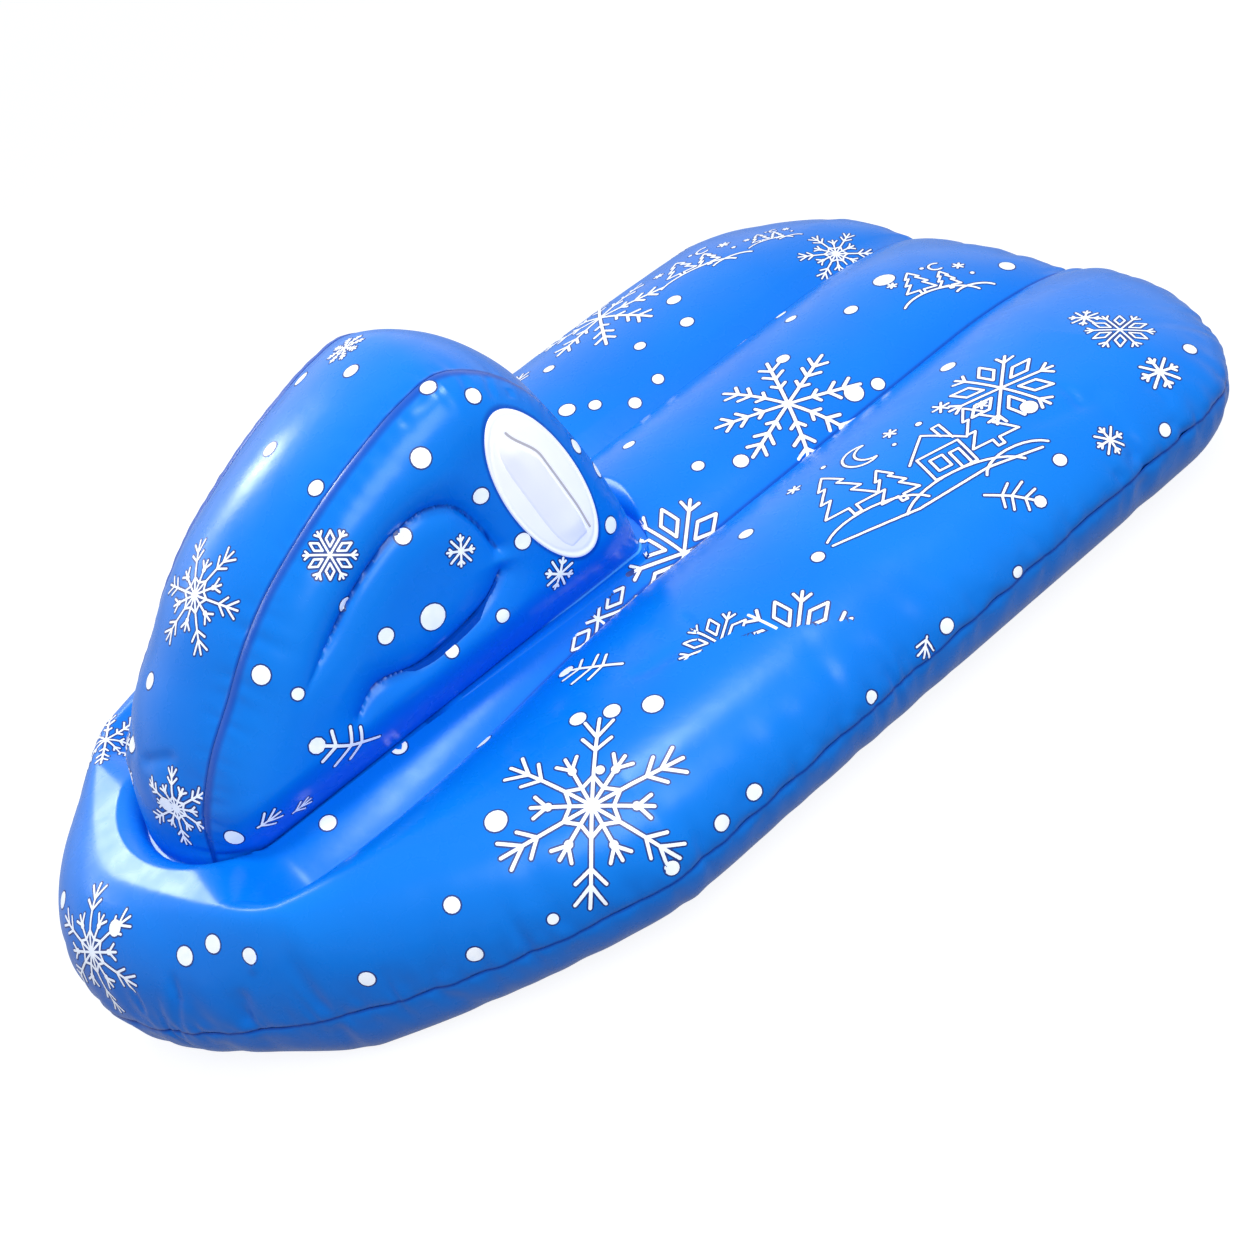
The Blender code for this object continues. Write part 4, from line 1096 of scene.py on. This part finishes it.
class SLED_OT_cowl_skins(bpy.types.Operator):
    """Shape the strip and the two side panels of the cowl"""

    bl_idname = "sled.cowl_skins"
    bl_label = "Cowl Skins"

    def execute(self, context):
        points, away, along, pressed = side_points()
        puckers = folds(along.max(), *COWL_FOLDS)
        y, z = points[..., 1], points[..., 2]
        # Painted highlight: the lowest edge of the rear foot flange, which the film lightens to a pale cyan
        hem = smooth(*FLANGE_FADE_Y, y) * (1 - smooth(FLANGE_HEIGHT * 0.5, FLANGE_HEIGHT, z - SKIN_FOOT_Z))
        # The handle plate's edge joins the weld attribute, so the film paints a shadow round the plate
        oval = np.hypot(*handle_spot(y, z))
        plate_shadow_gap = np.abs(oval - 1) * PATCH_HALF_WIDTH
        pressed = np.minimum(pressed, plate_shadow_gap)
        normal = grid_normals(points)
        normal *= np.sign(normal[..., :1] + TINY)
        start = smooth(*COWL_FOLD_START, away)
        sink = fold_depth(puckers, along, away) * start + crease_depth(points, "cowl_side_left")
        points = points - normal * sink[..., None]
        for side, word in ((1, "left"), (-1, "right")):
            panel = shaped_grid(f"cowl_side_panel_{word}", points * (side, 1, 1), Vector((side, 0, 0)))
            add_attribute(panel, "hem", hem)
            finish_skin(panel, pressed)
            dress(panel, FILM, f"cowl_side_{word}")
        points, away, along = strip_points()
        normal = grid_normals(points)
        centre = np.array((0, (COWL_FRONT_Y + COWL_REAR_Y) / 2, SKIN_FOOT_Z))
        facing = np.sign(((points - centre) * normal).sum(-1, keepdims=True))
        start = smooth(*COWL_FOLD_START, away)
        sink = fold_depth(puckers, along, away) * start + crease_depth(points, "cowl_strip")
        points = points - normal * facing * sink[..., None]
        strip = shaped_grid("cowl_strip_panel", points, centre=Vector(centre))
        finish_skin(strip, away, cowl_valve_place())
        dress(strip, FILM, "cowl_strip")
        for node in ("base_wall_left", "base_wall_right", "cowl_tie_upper", "cowl_tie_lower"):
            coat(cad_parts[node], FILM)
        return {"FINISHED"}


def rotated(points, angle, scale=1.0, shift=(0.0, 0.0)):
    cos, sin = math.cos(angle) * scale, math.sin(angle) * scale
    return [(x * cos - y * sin + shift[0], x * sin + y * cos + shift[1]) for x, y in points]


def ray_from(angle, start, end):
    """Ends of a line that runs outward at an angle between two radii."""
    return [(math.cos(angle) * start, math.sin(angle) * start), (math.cos(angle) * end, math.sin(angle) * end)]


def side_twigs(angle, place, length, lean):
    """Two twigs that leave an arm on both sides."""
    root = (math.cos(angle) * place, math.sin(angle) * place)
    return [
        [root, (root[0] + math.cos(angle + s * lean) * length, root[1] + math.sin(angle + s * lean) * length)]
        for s in (-1, 1)
    ]


def web_flake():
    """Flake of six long and six short arms, tied by a star-shaped web."""
    lines, discs, star = [], [(0, 0, 0.065)], []
    for k in range(6):
        long, short = math.radians(60 * k), math.radians(60 * k + 30)
        lines += [ray_from(long, 0, 1), ray_from(short, 0, 0.60)]
        lines += side_twigs(long, 0.60, 0.21, math.radians(45)) + side_twigs(long, 0.76, 0.25, math.radians(36))
        lines += side_twigs(short, 0.44, 0.17, math.radians(42))
        discs.append((math.cos(short) * 0.43, math.sin(short) * 0.43, 0.045))
        star += [ray_from(long, 0, 0.31)[1], ray_from(short, 0, 0.21)[1]]
    lines += [[p, q] for p, q in zip(star, star[1:] + star[:1])]
    return [(line, 0.032) for line in lines], discs


def twig_flake():
    """Flake of eight arms with pairs of twigs."""
    lines = []
    for k in range(8):
        angle = math.radians(45 * k)
        lines.append(ray_from(angle, 0, 1))
        for place, length in ((0.34, 0.13), (0.56, 0.19), (0.76, 0.19)):
            lines += side_twigs(angle, place, length, math.radians(48))
    return [(line, 0.042) for line in lines], []


def diamond_flake():
    """Flake of six forked arms with an open diamond between each two."""
    lines = []
    for k in range(6):
        angle, between = math.radians(60 * k), math.radians(60 * k + 30)
        lines.append(ray_from(angle, 0, 0.98))
        lines += side_twigs(angle, 0.76, 0.22, math.radians(42))
        diamond = rotated([(0.30, 0), (0.58, 0.15), (0.88, 0), (0.58, -0.15)], between)
        lines += [[p, q] for p, q in zip(diamond, diamond[1:] + diamond[:1])]
    return [(line, 0.048) for line in lines], []


def small_flake():
    """Bold little flake of eight arms with short forks."""
    lines = []
    for k in range(8):
        angle = math.radians(45 * k)
        lines.append(ray_from(angle, 0, 1))
        if k % 2 == 0:
            lines += side_twigs(angle, 0.62, 0.30, math.radians(45))
    return [(line, 0.13) for line in lines], []


def sprig():
    """Twig with a snowball on its end."""
    stem = [(-0.8, 0.0), (0.1, 0.02), (1.0, 0.16)]
    lines = [stem[:2], stem[1:]]
    for root, tip in (
        ((-0.35, 0.0), (-0.62, -0.42)), ((-0.35, 0.0), (-0.55, 0.40)), ((0.10, 0.02), (-0.16, -0.60)),
        ((0.10, 0.02), (-0.05, 0.52)), ((0.42, 0.07), (0.30, -0.45)), ((0.42, 0.07), (0.26, 0.50)),
    ):
        lines.append([root, tip])
    return [(line, 0.075) for line in lines], [(-0.86, 0.0, 0.22)]


def fan():
    """Fork of short strokes, the end of an arm."""
    lines = [[(0.0, -1.0), (0.0, 0.6)], [(0.0, -0.3), (0.55, 0.5)], [(0.0, -0.3), (-0.55, 0.5)],
             [(0.0, -0.75), (0.75, -0.1)], [(0.0, -0.75), (-0.75, -0.1)]]
    return [(line, 0.12) for line in lines], []


def ball():
    return [], [(0, 0, 1.0)]


def fir(x, y, height):
    """Outline of a fir tree with three tiers, standing at a spot."""
    tiers = [
        (0, 1.0), (0.17, 0.72), (0.08, 0.72), (0.27, 0.44), (0.14, 0.44), (0.36, 0.14), (0.05, 0.14), (0.05, 0.0),
    ]
    half = [(x + px * height, y + py * height) for px, py in tiers]
    other = [(2 * x - px, py) for px, py in half]
    return [half, other, [half[-1], other[-1]]]


def arc(x, y, radius, start, end, count=10, squash=1.0):
    turn = [math.radians(start + (end - start) * i / count) for i in range(count + 1)]
    return [(x + radius * math.cos(t), y + radius * squash * math.sin(t)) for t in turn]


def star(x, y, size):
    return [rotated(ray_from(math.radians(60 * k), -size, size), 0, 1, (x, y)) for k in range(3)]


def winter_view():
    """Line drawing of firs on snow hills with a cabin, the moon and stars."""
    paths = fir(-0.62, -0.30, 0.72) + fir(-0.24, -0.42, 0.50) + fir(0.74, -0.34, 0.62)
    paths += [arc(-0.55, -0.60, 0.52, 20, 150, 12, 0.55), arc(0.25, -0.72, 0.62, 25, 155, 14, 0.55)]
    paths += [
        arc(0.78, -0.62, 0.34, 30, 165, 10, 0.6), [(-0.98, -0.52), (-0.2, -0.58), (0.5, -0.5), (1.0, -0.55)],
        [(0.08, -0.38), (0.08, -0.06), (0.48, -0.06), (0.48, -0.38)], [(0.0, -0.08), (0.28, 0.22), (0.56, -0.08)],
        [(0.08, -0.38), (0.48, -0.38)], [(0.16, -0.30), (0.16, -0.14), (0.28, -0.14), (0.28, -0.30), (0.16, -0.30)],
        [(0.34, -0.38), (0.34, -0.16), (0.43, -0.16), (0.43, -0.38)],
        [(0.40, 0.08), (0.40, 0.24), (0.47, 0.24), (0.47, 0.0)],
    ]
    paths += [arc(-0.22, 0.42, 0.17, 60, 300, 14), arc(-0.13, 0.42, 0.14, 90, 270, 12)]
    paths += star(0.12, 0.50, 0.06) + star(0.62, 0.46, 0.08) + star(-0.86, 0.52, 0.06) + star(0.88, 0.20, 0.05)
    return [(path, 0.020) for path in paths], [(0.36, 0.40, 0.03), (-0.52, 0.60, 0.025), (0.06, 0.30, 0.02)]


def hill_view():
    """Smaller line drawing of two firs on a hill under stars."""
    paths = fir(-0.40, -0.35, 0.95) + fir(0.22, -0.42, 0.70)
    paths += [arc(-0.1, -0.85, 0.95, 25, 155, 14, 0.55), arc(0.7, -0.7, 0.5, 30, 150, 10, 0.5)]
    paths += star(0.70, 0.36, 0.12) + star(-0.88, 0.30, 0.10) + [arc(0.25, 0.55, 0.16, 60, 300, 12)]
    return [(path, 0.045) for path in paths], [(0.85, -0.05, 0.05), (-0.05, 0.62, 0.05)]


MOTIFS = {
    "web": web_flake, "twig": twig_flake, "diamond": diamond_flake, "small": small_flake,
    "sprig": sprig, "fan": fan, "ball": ball, "view": winter_view, "hill": hill_view,
}

# Prints: place in the picture, radius in its pixels, motif and turn in degrees. Where a seam cuts a motif, then
# the direction and distance from its middle, in radii, of the cut
PRINTS = (
    (592, 806, 105, "web", 88), (788, 404, 76, "twig", 115), (195, 595, 62, "web", -90),
    (92, 952, 70, "web", 101), (176, 808, 44, "web", 105), (330, 555, 28, "diamond", 0),
    (1001, 388, 58, "diamond", 84), (684, 553, 63, "diamond", 83, 150, -0.35),
    (598, 619, 50, "diamond", 20, -42, -0.12),
    (797, 640, 62, "diamond", 84, 98, 0.26), (720, 644, 44, "diamond", 74, 118, 0.12),
    (836, 254, 38, "web", 60), (461, 551, 16, "small", 10), (560, 574, 17, "small", 0),
    (600, 318, 70, "twig", 100), (589, 668, 40, "sprig", 5), (348, 746, 40, "sprig", 4),
    (272, 818, 17, "fan", -40), (304, 804, 14, "fan", -55), (345, 348, 22, "twig", 0),
    (520, 378, 14, "fan", 20), (925, 650, 14, "fan", 170), (106, 740, 40, "twig", 80),
    (78, 800, 22, "fan", 90), (1015, 496, 30, "sprig", 170), (905, 462, 118, "view", 28),
    (697, 262, 46, "hill", 25), (935, 280, 46, "hill", 15), (770, 236, 26, "hill", 15),
    (1120, 330, 34, "diamond", 40), (1160, 372, 20, "small", 20), (1085, 318, 15, "small", 0),
    (1110, 440, 16, "small", 30),
)

# Dots: place in the picture, and radius in its pixels where it isn't the usual one
DOT = 8.6
DOTS = (
    (301, 379), (351, 371), (428, 387), (473, 396), (270, 449), (316, 488), (421, 458, 10.5), (403, 536),
    (344, 604, 8), (386, 636), (433, 617, 14), (452, 651, 7), (503, 616, 7), (261, 675, 10), (298, 694, 6.5),
    (150, 681), (133, 744), (481, 496), (523, 541), (567, 410), (595, 405, 6.5), (635, 403, 6.5),
    (658, 379, 6), (640, 346, 6), (687, 322, 7), (674, 300, 7.5), (549, 369, 6), (576, 446, 8), (597, 470, 8),
    (611, 525), (629, 445, 6.5), (698, 466, 6.5), (741, 461, 8), (746, 534, 8), (818, 557, 7), (653, 704, 11),
    (612, 711, 9), (578, 719, 9), (496, 821, 12), (484, 742, 9), (781, 315, 6), (791, 319, 6), (851, 310, 7),
    (884, 280, 11), (1007, 266, 8), (783, 359, 7), (854, 393, 10), (878, 384, 7), (948, 367, 8), (1029, 407, 9),
    (1190, 349, 7), (871, 697, 7), (947, 626, 8), (754, 792), (722, 823), (553, 919, 6), (475, 954),
    (452, 905), (367, 979), (185, 956, 10), (213, 944, 9.5), (250, 956), (115, 928), (63, 900),
    (166, 804, 8), (234, 838, 10), (316, 747, 7), (399, 747), (328, 823), (1018, 572, 6), (1205, 300, 6),
    (672, 868, 8), (1165, 430, 7), (1060, 460, 7), (600, 770, 5),
)


def outlined(path, width, step):
    """Round-ended outline of a stroke along a path, with points a step apart."""
    pieces = []
    for (x0, y0), (x1, y1) in zip(path, path[1:]):
        length = math.hypot(x1 - x0, y1 - y0)
        if length < CLOSE:
            continue
        count = max(1, math.ceil(length / step))
        ux, uy = (x1 - x0) / length, (y1 - y0) / length
        half = width / 2
        along = [(x0 + ux * length * i / count, y0 + uy * length * i / count) for i in range(count + 1)]
        right = [(x + uy * half, y - ux * half) for x, y in along]
        left = [(x - uy * half, y + ux * half) for x, y in reversed(along)]
        facing = math.atan2(uy, ux)
        far = [(x1 + half * math.cos(facing + a), y1 + half * math.sin(facing + a)) for a in FAR_END]
        near = [(x0 + half * math.cos(facing + a), y0 + half * math.sin(facing + a)) for a in NEAR_END]
        pieces.append(right + far + left + near)
    return pieces


def covers(outline, x, y):
    """Whether a closed outline goes round a spot."""
    round_it = False
    x0, y0 = outline[-1]
    for x1, y1 in outline:
        if (y0 > y) != (y1 > y) and x < (x1 - x0) * (y - y0) / (y1 - y0) + x0:
            round_it = not round_it
        x0, y0 = x1, y1
    return round_it


def filled(outlines, keep):
    """Points and triangles of the union of closed outlines."""
    points, faces = [], []
    for outline in outlines:
        faces.append(list(range(len(points), len(points) + len(outline))))
        points += [Vector(p) for p in outline]
    points, _, triangles, _, _, sources = delaunay_2d_cdt(points, [], faces, 0, CLOSE, True)
    kept = []
    for triangle, source in zip(triangles, sources):
        middle = sum((points[i] for i in triangle), Vector((0, 0))) / 3
        if keep is not None and middle.dot(keep[0]) < keep[1]:
            continue
        if any(covers(outlines[k], middle.x, middle.y) for k in source):
            kept.append(tuple(triangle))
    return points, kept


def laid(surface, spot, normal, ahead, reach, points):
    """Lays flat points on a surface round a spot without stretch; None for a point past its edge."""
    turns, rings = NET_TURNS, max(NET_LEAST_RINGS, math.ceil(reach / NET_STEP))
    step = reach / rings
    aside = normal.cross(ahead)
    spokes = []
    for k in range(turns):
        angle = 2 * math.pi * k / turns
        place, way, spoke, on = spot.copy(), ahead * math.cos(angle) + aside * math.sin(angle), [(spot, True)], True
        for _ in range(rings):
            found, facing, _, _ = surface.find_nearest(place + way * step)
            on = on and (found - place).length > NET_LEAST_MOVE * step
            way = (way - facing * way.dot(facing)).normalized()
            place = found
            spoke.append((found, on))
        spokes.append(spoke)
    result = []
    for x, y in points:
        radius, angle = math.hypot(x, y), math.atan2(y, x) % (2 * math.pi)
        k, i = angle / (2 * math.pi) * turns, min(radius / step, rings - CLOSE)
        k0, i0 = int(k) % turns, int(i)
        turned, out = k - int(k), i - i0
        corners = [spokes[(k0 + dk) % turns][i0 + di] for dk in (0, 1) for di in (0, 1)]
        if not all(on for _, on in corners):
            result.append(None)
            continue
        a, b, c, d = (corner for corner, _ in corners)
        result.append((a * (1 - out) + b * out) * (1 - turned) + (c * (1 - out) + d * out) * turned)
    return result


class SLED_OT_prints(bpy.types.Operator):
    """Print snowflakes, dots and winter drawings in white ink with a dark blue rim"""

    bl_idname = "sled.prints"
    bl_label = "Prints"

    def execute(self, context):
        settings = context.scene.sled_prints
        if not SURFACES:
            raise RuntimeError("The prints lie on the skins, so these come first")
        right, up, back = camera_axes()
        camera = Vector(CAMERA_PLACE)
        flip = Vector((-1, 1, 1))
        made = {}
        rng = random.Random(PRINT_SEED)
        entries = [(*row[:5], row[5:] or None) for row in PRINTS]
        entries += [(*row[:2], row[2] if len(row) > 2 else DOT, "ball", 0, None) for row in DOTS]

        def hit(way):
            """Piece, spot and normal where a ray from the camera first meets a skin."""
            best = None
            for name, surface in SURFACES.items():
                spot, normal, _, away = surface.ray_cast(camera, way)
                if spot and (best is None or away < best[3]):
                    best = (name, spot, normal, away)
            return best and best[:3]

        for u, v, pixels, motif, turn, cut in entries:
            way = pixel_ray(u, v)
            found = hit(way)
            if not found:
                continue
            name, spot, normal = found
            radius = pixels * (spot - camera).dot(-back) / FOCAL
            angle = math.radians(turn)
            ahead = right * math.cos(angle) + up * math.sin(angle)
            ahead = (ahead - way * ahead.dot(normal) / way.dot(normal)).normalized()
            if cut:
                facing = math.radians(cut[0] - turn)
                cut = (Vector((math.cos(facing), math.sin(facing))), cut[1])
            self.lay_print(made, name, spot, normal, ahead, radius, motif, cut, settings)
            other = spot * flip
            seen = hit((other - camera).normalized())
            if spot.x > TWIN_LEAST_X and (seen is None or (seen[1] - other).length > TWIN_GAP):
                # The far side, which the picture doesn't show, gets the same motif turned at random
                name, normal = name.replace("_left", "_right"), normal * flip
                ahead = Matrix.Rotation(rng.uniform(0, 6.28), 3, normal) @ (ahead * flip)
                self.lay_print(made, name, other, normal, ahead, radius, motif, cut, settings)
        for (panel, ink), (points, faces) in made.items():
            name = f"print_{ink}_on_{panel}"
            mesh = bpy.data.meshes.new(name)
            mesh.from_pydata(points, [], faces)
            piece = bpy.data.objects.new(name, mesh)
            context.collection.objects.link(piece)
            smoothed(modified(piece, "SOLIDIFY", thickness=settings.ink, offset=-1), 35)
            if ink == "white":
                dress(piece, "screen_printed_white_ink")
            else:
                dress(piece, "screen_printed_deep_blue_ink")
        return {"FINISHED"}

    def lay_print(self, made, panel, spot, normal, ahead, radius, motif, cut, settings):
        """Adds one motif to the prints of a panel, its white over its dark rim."""
        surface = SURFACES[panel]
        strokes, discs = MOTIFS[motif]()
        step = settings.grain / radius
        for ink, lift, grow in (("white", settings.ink * 2, 0.0), ("rim", settings.ink, settings.rim / radius)):
            outlines = []
            for path, width in strokes:
                outlines += outlined(path, settings.weight * max(width, LEAST_STROKE / radius) + 2 * grow, step)
            for x, y, r in discs:
                outlines.append(arc(x, y, r + grow, 0, 360, DOT_POINTS if motif == "ball" else DISC_POINTS)[:-1])
                if motif == "ball":
                    # An inner ring, so that a large dot follows the skin
                    outlines.append(arc(x, y, r * DOT_RING[0], 0, 360, DOT_RING[1])[:-1])
            points, faces = filled(outlines, cut)
            flat = [point * radius for point in points]
            reach = max(point.length for point in flat) + NET_MARGIN
            known, facesets = made.setdefault((panel, ink), ([], []))
            index = {}
            for i, place in enumerate(laid(surface, spot, normal, ahead, reach, flat)):
                if place is not None:
                    found, facing, _, _ = surface.find_nearest(place)
                    index[i] = len(known)
                    known.append(found + facing * lift)
            for face in faces:
                if all(i in index for i in face) and all(
                    (known[index[i]] - known[index[j]]).length < STRETCH * (flat[i] - flat[j]).length + INK_GAP
                    for i, j in zip(face, face[1:] + face[:1])
                ):
                    facesets.append(tuple(index[i] for i in face))


class SLED_OT_handles(bpy.types.Operator):
    """Make the oval handle plate and its strap on both sides of the cowl"""

    bl_idname = "sled.handles"
    bl_label = "Handles"

    def execute(self, context):
        settings = context.scene.sled_handles
        if "cowl_side_panel_left" not in SURFACES:
            raise RuntimeError("The handles lie on the cowl's skins, so these come first")
        surface = SURFACES["cowl_side_panel_left"]
        cos, sin = math.cos(HANDLE_LEAN), math.sin(HANDLE_LEAN)

        def over_panel(along, across, height):
            """The point at a height over the panel, along and across the plate."""
            y, z = HANDLE_Y - along * sin + across * cos, HANDLE_Z + along * cos + across * sin
            return surface.ray_cast(Vector((1, y, z)), Vector((-1, 0, 0)))[0].x + height, y, z

        rings = np.concatenate([[0.0], np.linspace(*PLATE_RINGS), RIM_RINGS])
        turns = np.linspace(0, 2 * math.pi, PLATE_TURNS)
        # Painted shadow line beside the strap's rear edge, set a step behind it, and each plate point's distance to
        # it
        slit = np.array([strap_rear(share) for share in np.linspace(*STRAP_SHADOW_SHARES)]) + (0, STRAP_SHADOW_STEP)
        spots = np.stack([
            PATCH_HALF_LENGTH * rings[:, None] * np.sin(turns), PATCH_HALF_WIDTH * rings[:, None] * np.cos(turns),
        ], -1)
        gap = nearest_on(slit, spots)[0]
        plate = np.empty((*gap.shape, 3))
        for i, share in enumerate(rings):
            inset = (1 - share) * PATCH_HALF_WIDTH
            height = settings.plate * quarter(inset / PLATE_EDGE) + PLATE_CROWN * (1 - share**2) - PLATE_BED
            height -= RING_DEPTH * math.exp(-(((inset - RING_INSET) / RING_WIDTH) ** 2))
            plate[i] = [over_panel(*spot, height) for spot in spots[i]]
        shares, sides = np.linspace(-1, 1, STRAP_GRID[0]), np.linspace(0, 1, STRAP_GRID[1])
        strap = np.empty((*STRAP_GRID, 3))
        for i, share in enumerate(shares):
            along, rear = strap_rear(share)
            front = STRAP_FRONT + STRAP_FRONT_TURN * abs(share) ** STRAP_FRONT_POWER
            width = rear - front
            rise = settings.strap_rise * smooth(*STRAP_RISE_ALONG, 1 - abs(share)) * smooth(*STRAP_RISE_ACROSS, sides)
            crown = STRAP_CROWN * (quarter(np.minimum(sides, 1 - sides) * width / STRAP_EDGE) - 1)
            drop = STRAP_END_DROP * smooth(*STRAP_END_SHARES, abs(share))
            height = settings.plate + STRAP_LIFT + rise + crown - drop
            strap[i] = [over_panel(along, front + width * side, top) for side, top in zip(sides, height)]
        for side, word in ((1, "left"), (-1, "right")):
            piece = shaped_grid(f"handle_plate_{word}", plate * (side, 1, 1), Vector((side, 0, 0)))
            # Distance to the painted shadow line, which the plate's material darkens
            add_attribute(piece, "slit", gap)
            only(piece)
            bpy.ops.object.mode_set(mode="EDIT")
            bpy.ops.mesh.select_all(action="SELECT")
            bpy.ops.mesh.remove_doubles(threshold=MERGE)
            bpy.ops.object.mode_set(mode="OBJECT")
            smoothed(modified(piece, "SOLIDIFY", thickness=PLATE_SHEET, offset=-1), 50)
            dress(piece, "embossed_white_pvc_plate", f"handle_patch_{word}")
            piece = shaped_grid(f"handle_strap_{word}", strap * (side, 1, 1), Vector((side, 0, 0)))
            modified(piece, "SOLIDIFY", thickness=settings.strap, offset=-1)
            modified(
                piece, "BEVEL", width=STRAP_BEVEL, segments=3, limit_method="ANGLE", angle_limit=math.radians(50)
            )
            smoothed(piece, 60)
            dress(piece, "soft_white_pvc_strap", f"handle_grip_{word}")
        return {"FINISHED"}


def strap_rear(share):
    """Spot of the strap's rear edge along and across the plate, beside which the strap's shadow is painted on the
    plate.
    """
    (top, foot), (top_start, foot_start) = STRAP_REAR_TURNS, STRAP_TURN_STARTS
    across = STRAP_REAR - top * smooth(top_start, 1.0, share) - foot * smooth(foot_start, 1.0, -share)
    return share * GRIP_HALF_LENGTH, across


class SLED_OT_valves(bpy.types.Operator):
    """Give the valves their soft clear plastic"""

    bl_idname = "sled.valves"
    bl_label = "Valves"

    def execute(self, context):
        for valve in ("base_valve", "cowl_valve"):
            for part in ("collar", "stem", "plug", "flap"):
                finish = "thin_clear_pvc_flap" if part == "flap" else "moulded_clear_soft_pvc"
                coat(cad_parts[f"{valve}_{part}"], finish)
        return {"FINISHED"}


class SLED_OT_studio(bpy.types.Operator):
    """Set the camera, the pale floor and the soft boxes"""

    bl_idname = "sled.studio"
    bl_label = "Studio"

    def execute(self, context):
        scene = context.scene
        settings = scene.studio
        right, up, back = camera_axes()
        matrix = Matrix((right, up, back)).transposed().to_4x4()
        matrix.translation = Vector(CAMERA_PLACE)
        deselect()
        bpy.ops.object.camera_add()
        camera = context.object
        camera.matrix_world = matrix
        camera.data.sensor_width = SENSOR
        camera.data.lens = CAMERA_LENS
        scene.camera = camera

        deselect()
        bpy.ops.mesh.primitive_plane_add(size=30)
        floor = context.object
        floor.name = "studio_floor"
        # Matt paper: grey enough that the lamps don't burn it out, lifted to white where it is seen
        material, tree, shader = new_material("white_studio_paper")
        shader.inputs["Base Color"].default_value = linear("#808286")
        shader.inputs["Roughness"].default_value = 0.9
        shader.inputs["Emission Color"].default_value = WHITE
        tree.links.new(seen_rays(tree, settings.floor_lift, FLOOR_MIRRORED), shader.inputs["Emission Strength"])
        floor.data.materials.append(material)

        world = bpy.data.worlds.new("studio_light")
        scene.world = world
        world.use_nodes = True
        tree = world.node_tree
        tree.nodes.clear()
        even = add_node(tree, "ShaderNodeBackground", None, {"Color": FILL_COLOUR, "Strength": settings.fill})
        white = add_node(tree, "ShaderNodeBackground", None, {"Color": WHITE, "Strength": 1.0})
        mix = add_node(
            tree, "ShaderNodeMixShader", None, {0: seen_rays(tree, 1.0), 1: even.outputs[0], 2: white.outputs[0]}
        )
        add_node(tree, "ShaderNodeOutputWorld", None, {"Surface": mix.outputs[0]})

        for name, place, aim, size, power in (
            ("soft_box_above", (0.50, 0.42, 2.6), (0.1, 0, 0.15), (0.50, 0.56), settings.above_power),
            ("soft_box_side", (1.50, -0.25, 1.75), (0.1, -0.1, 0.15), (1.2, 0.85), settings.side_power),
            ("soft_box_front", (-1.6, -1.1, 1.15), (0, -0.4, 0.25), (0.95, 0.35), settings.front_power),
            ("soft_box_nose", (-1.85, -0.5, 1.45), (0, -0.5, 0.17), (0.34, 0.34), settings.nose_power),
        ):
            deselect()
            bpy.ops.object.light_add(type="AREA", location=place)
            lamp = context.object
            lamp.name = name
            lamp.data.shape = "RECTANGLE"
            lamp.data.size, lamp.data.size_y = size
            lamp.data.energy = power
            lamp.data.color = LAMP_COLOUR
            lamp.rotation_euler = (Vector(aim) - Vector(place)).to_track_quat("-Z", "Y").to_euler()
        scene.view_settings.view_transform = "Standard"
        return {"FINISHED"}


class SLED_PT_panel(bpy.types.Panel):
    """Lists the steps that dress the sled"""

    bl_label = "Inflatable Sled"
    bl_idname = "SLED_PT_panel"
    bl_space_type = "VIEW_3D"
    bl_region_type = "UI"
    bl_category = "Sled"

    def draw(self, context):
        for step in STEPS:
            self.layout.operator(step.bl_idname)


STEPS = (
    SLED_OT_base_skins, SLED_OT_cowl_skins, SLED_OT_handles, SLED_OT_prints, SLED_OT_valves, SLED_OT_studio,
)
CLASSES = (SledSkinSettings, SledPrintSettings, SledHandleSettings, StudioSettings, *STEPS, SLED_PT_panel)


def register():
    for cls in CLASSES:
        bpy.utils.register_class(cls)
    bpy.types.Scene.sled_skins = bpy.props.PointerProperty(type=SledSkinSettings)
    bpy.types.Scene.sled_prints = bpy.props.PointerProperty(type=SledPrintSettings)
    bpy.types.Scene.sled_handles = bpy.props.PointerProperty(type=SledHandleSettings)
    bpy.types.Scene.studio = bpy.props.PointerProperty(type=StudioSettings)


def unregister():
    del bpy.types.Scene.sled_skins
    del bpy.types.Scene.sled_prints
    del bpy.types.Scene.sled_handles
    del bpy.types.Scene.studio
    for cls in reversed(CLASSES):
        bpy.utils.unregister_class(cls)


def main():
    register()
    bpy.ops.sled.base_skins()
    bpy.ops.sled.cowl_skins()
    bpy.ops.sled.handles()
    bpy.ops.sled.prints()
    bpy.ops.sled.valves()
    bpy.ops.sled.studio()


if __name__ == "__main__":
    main()
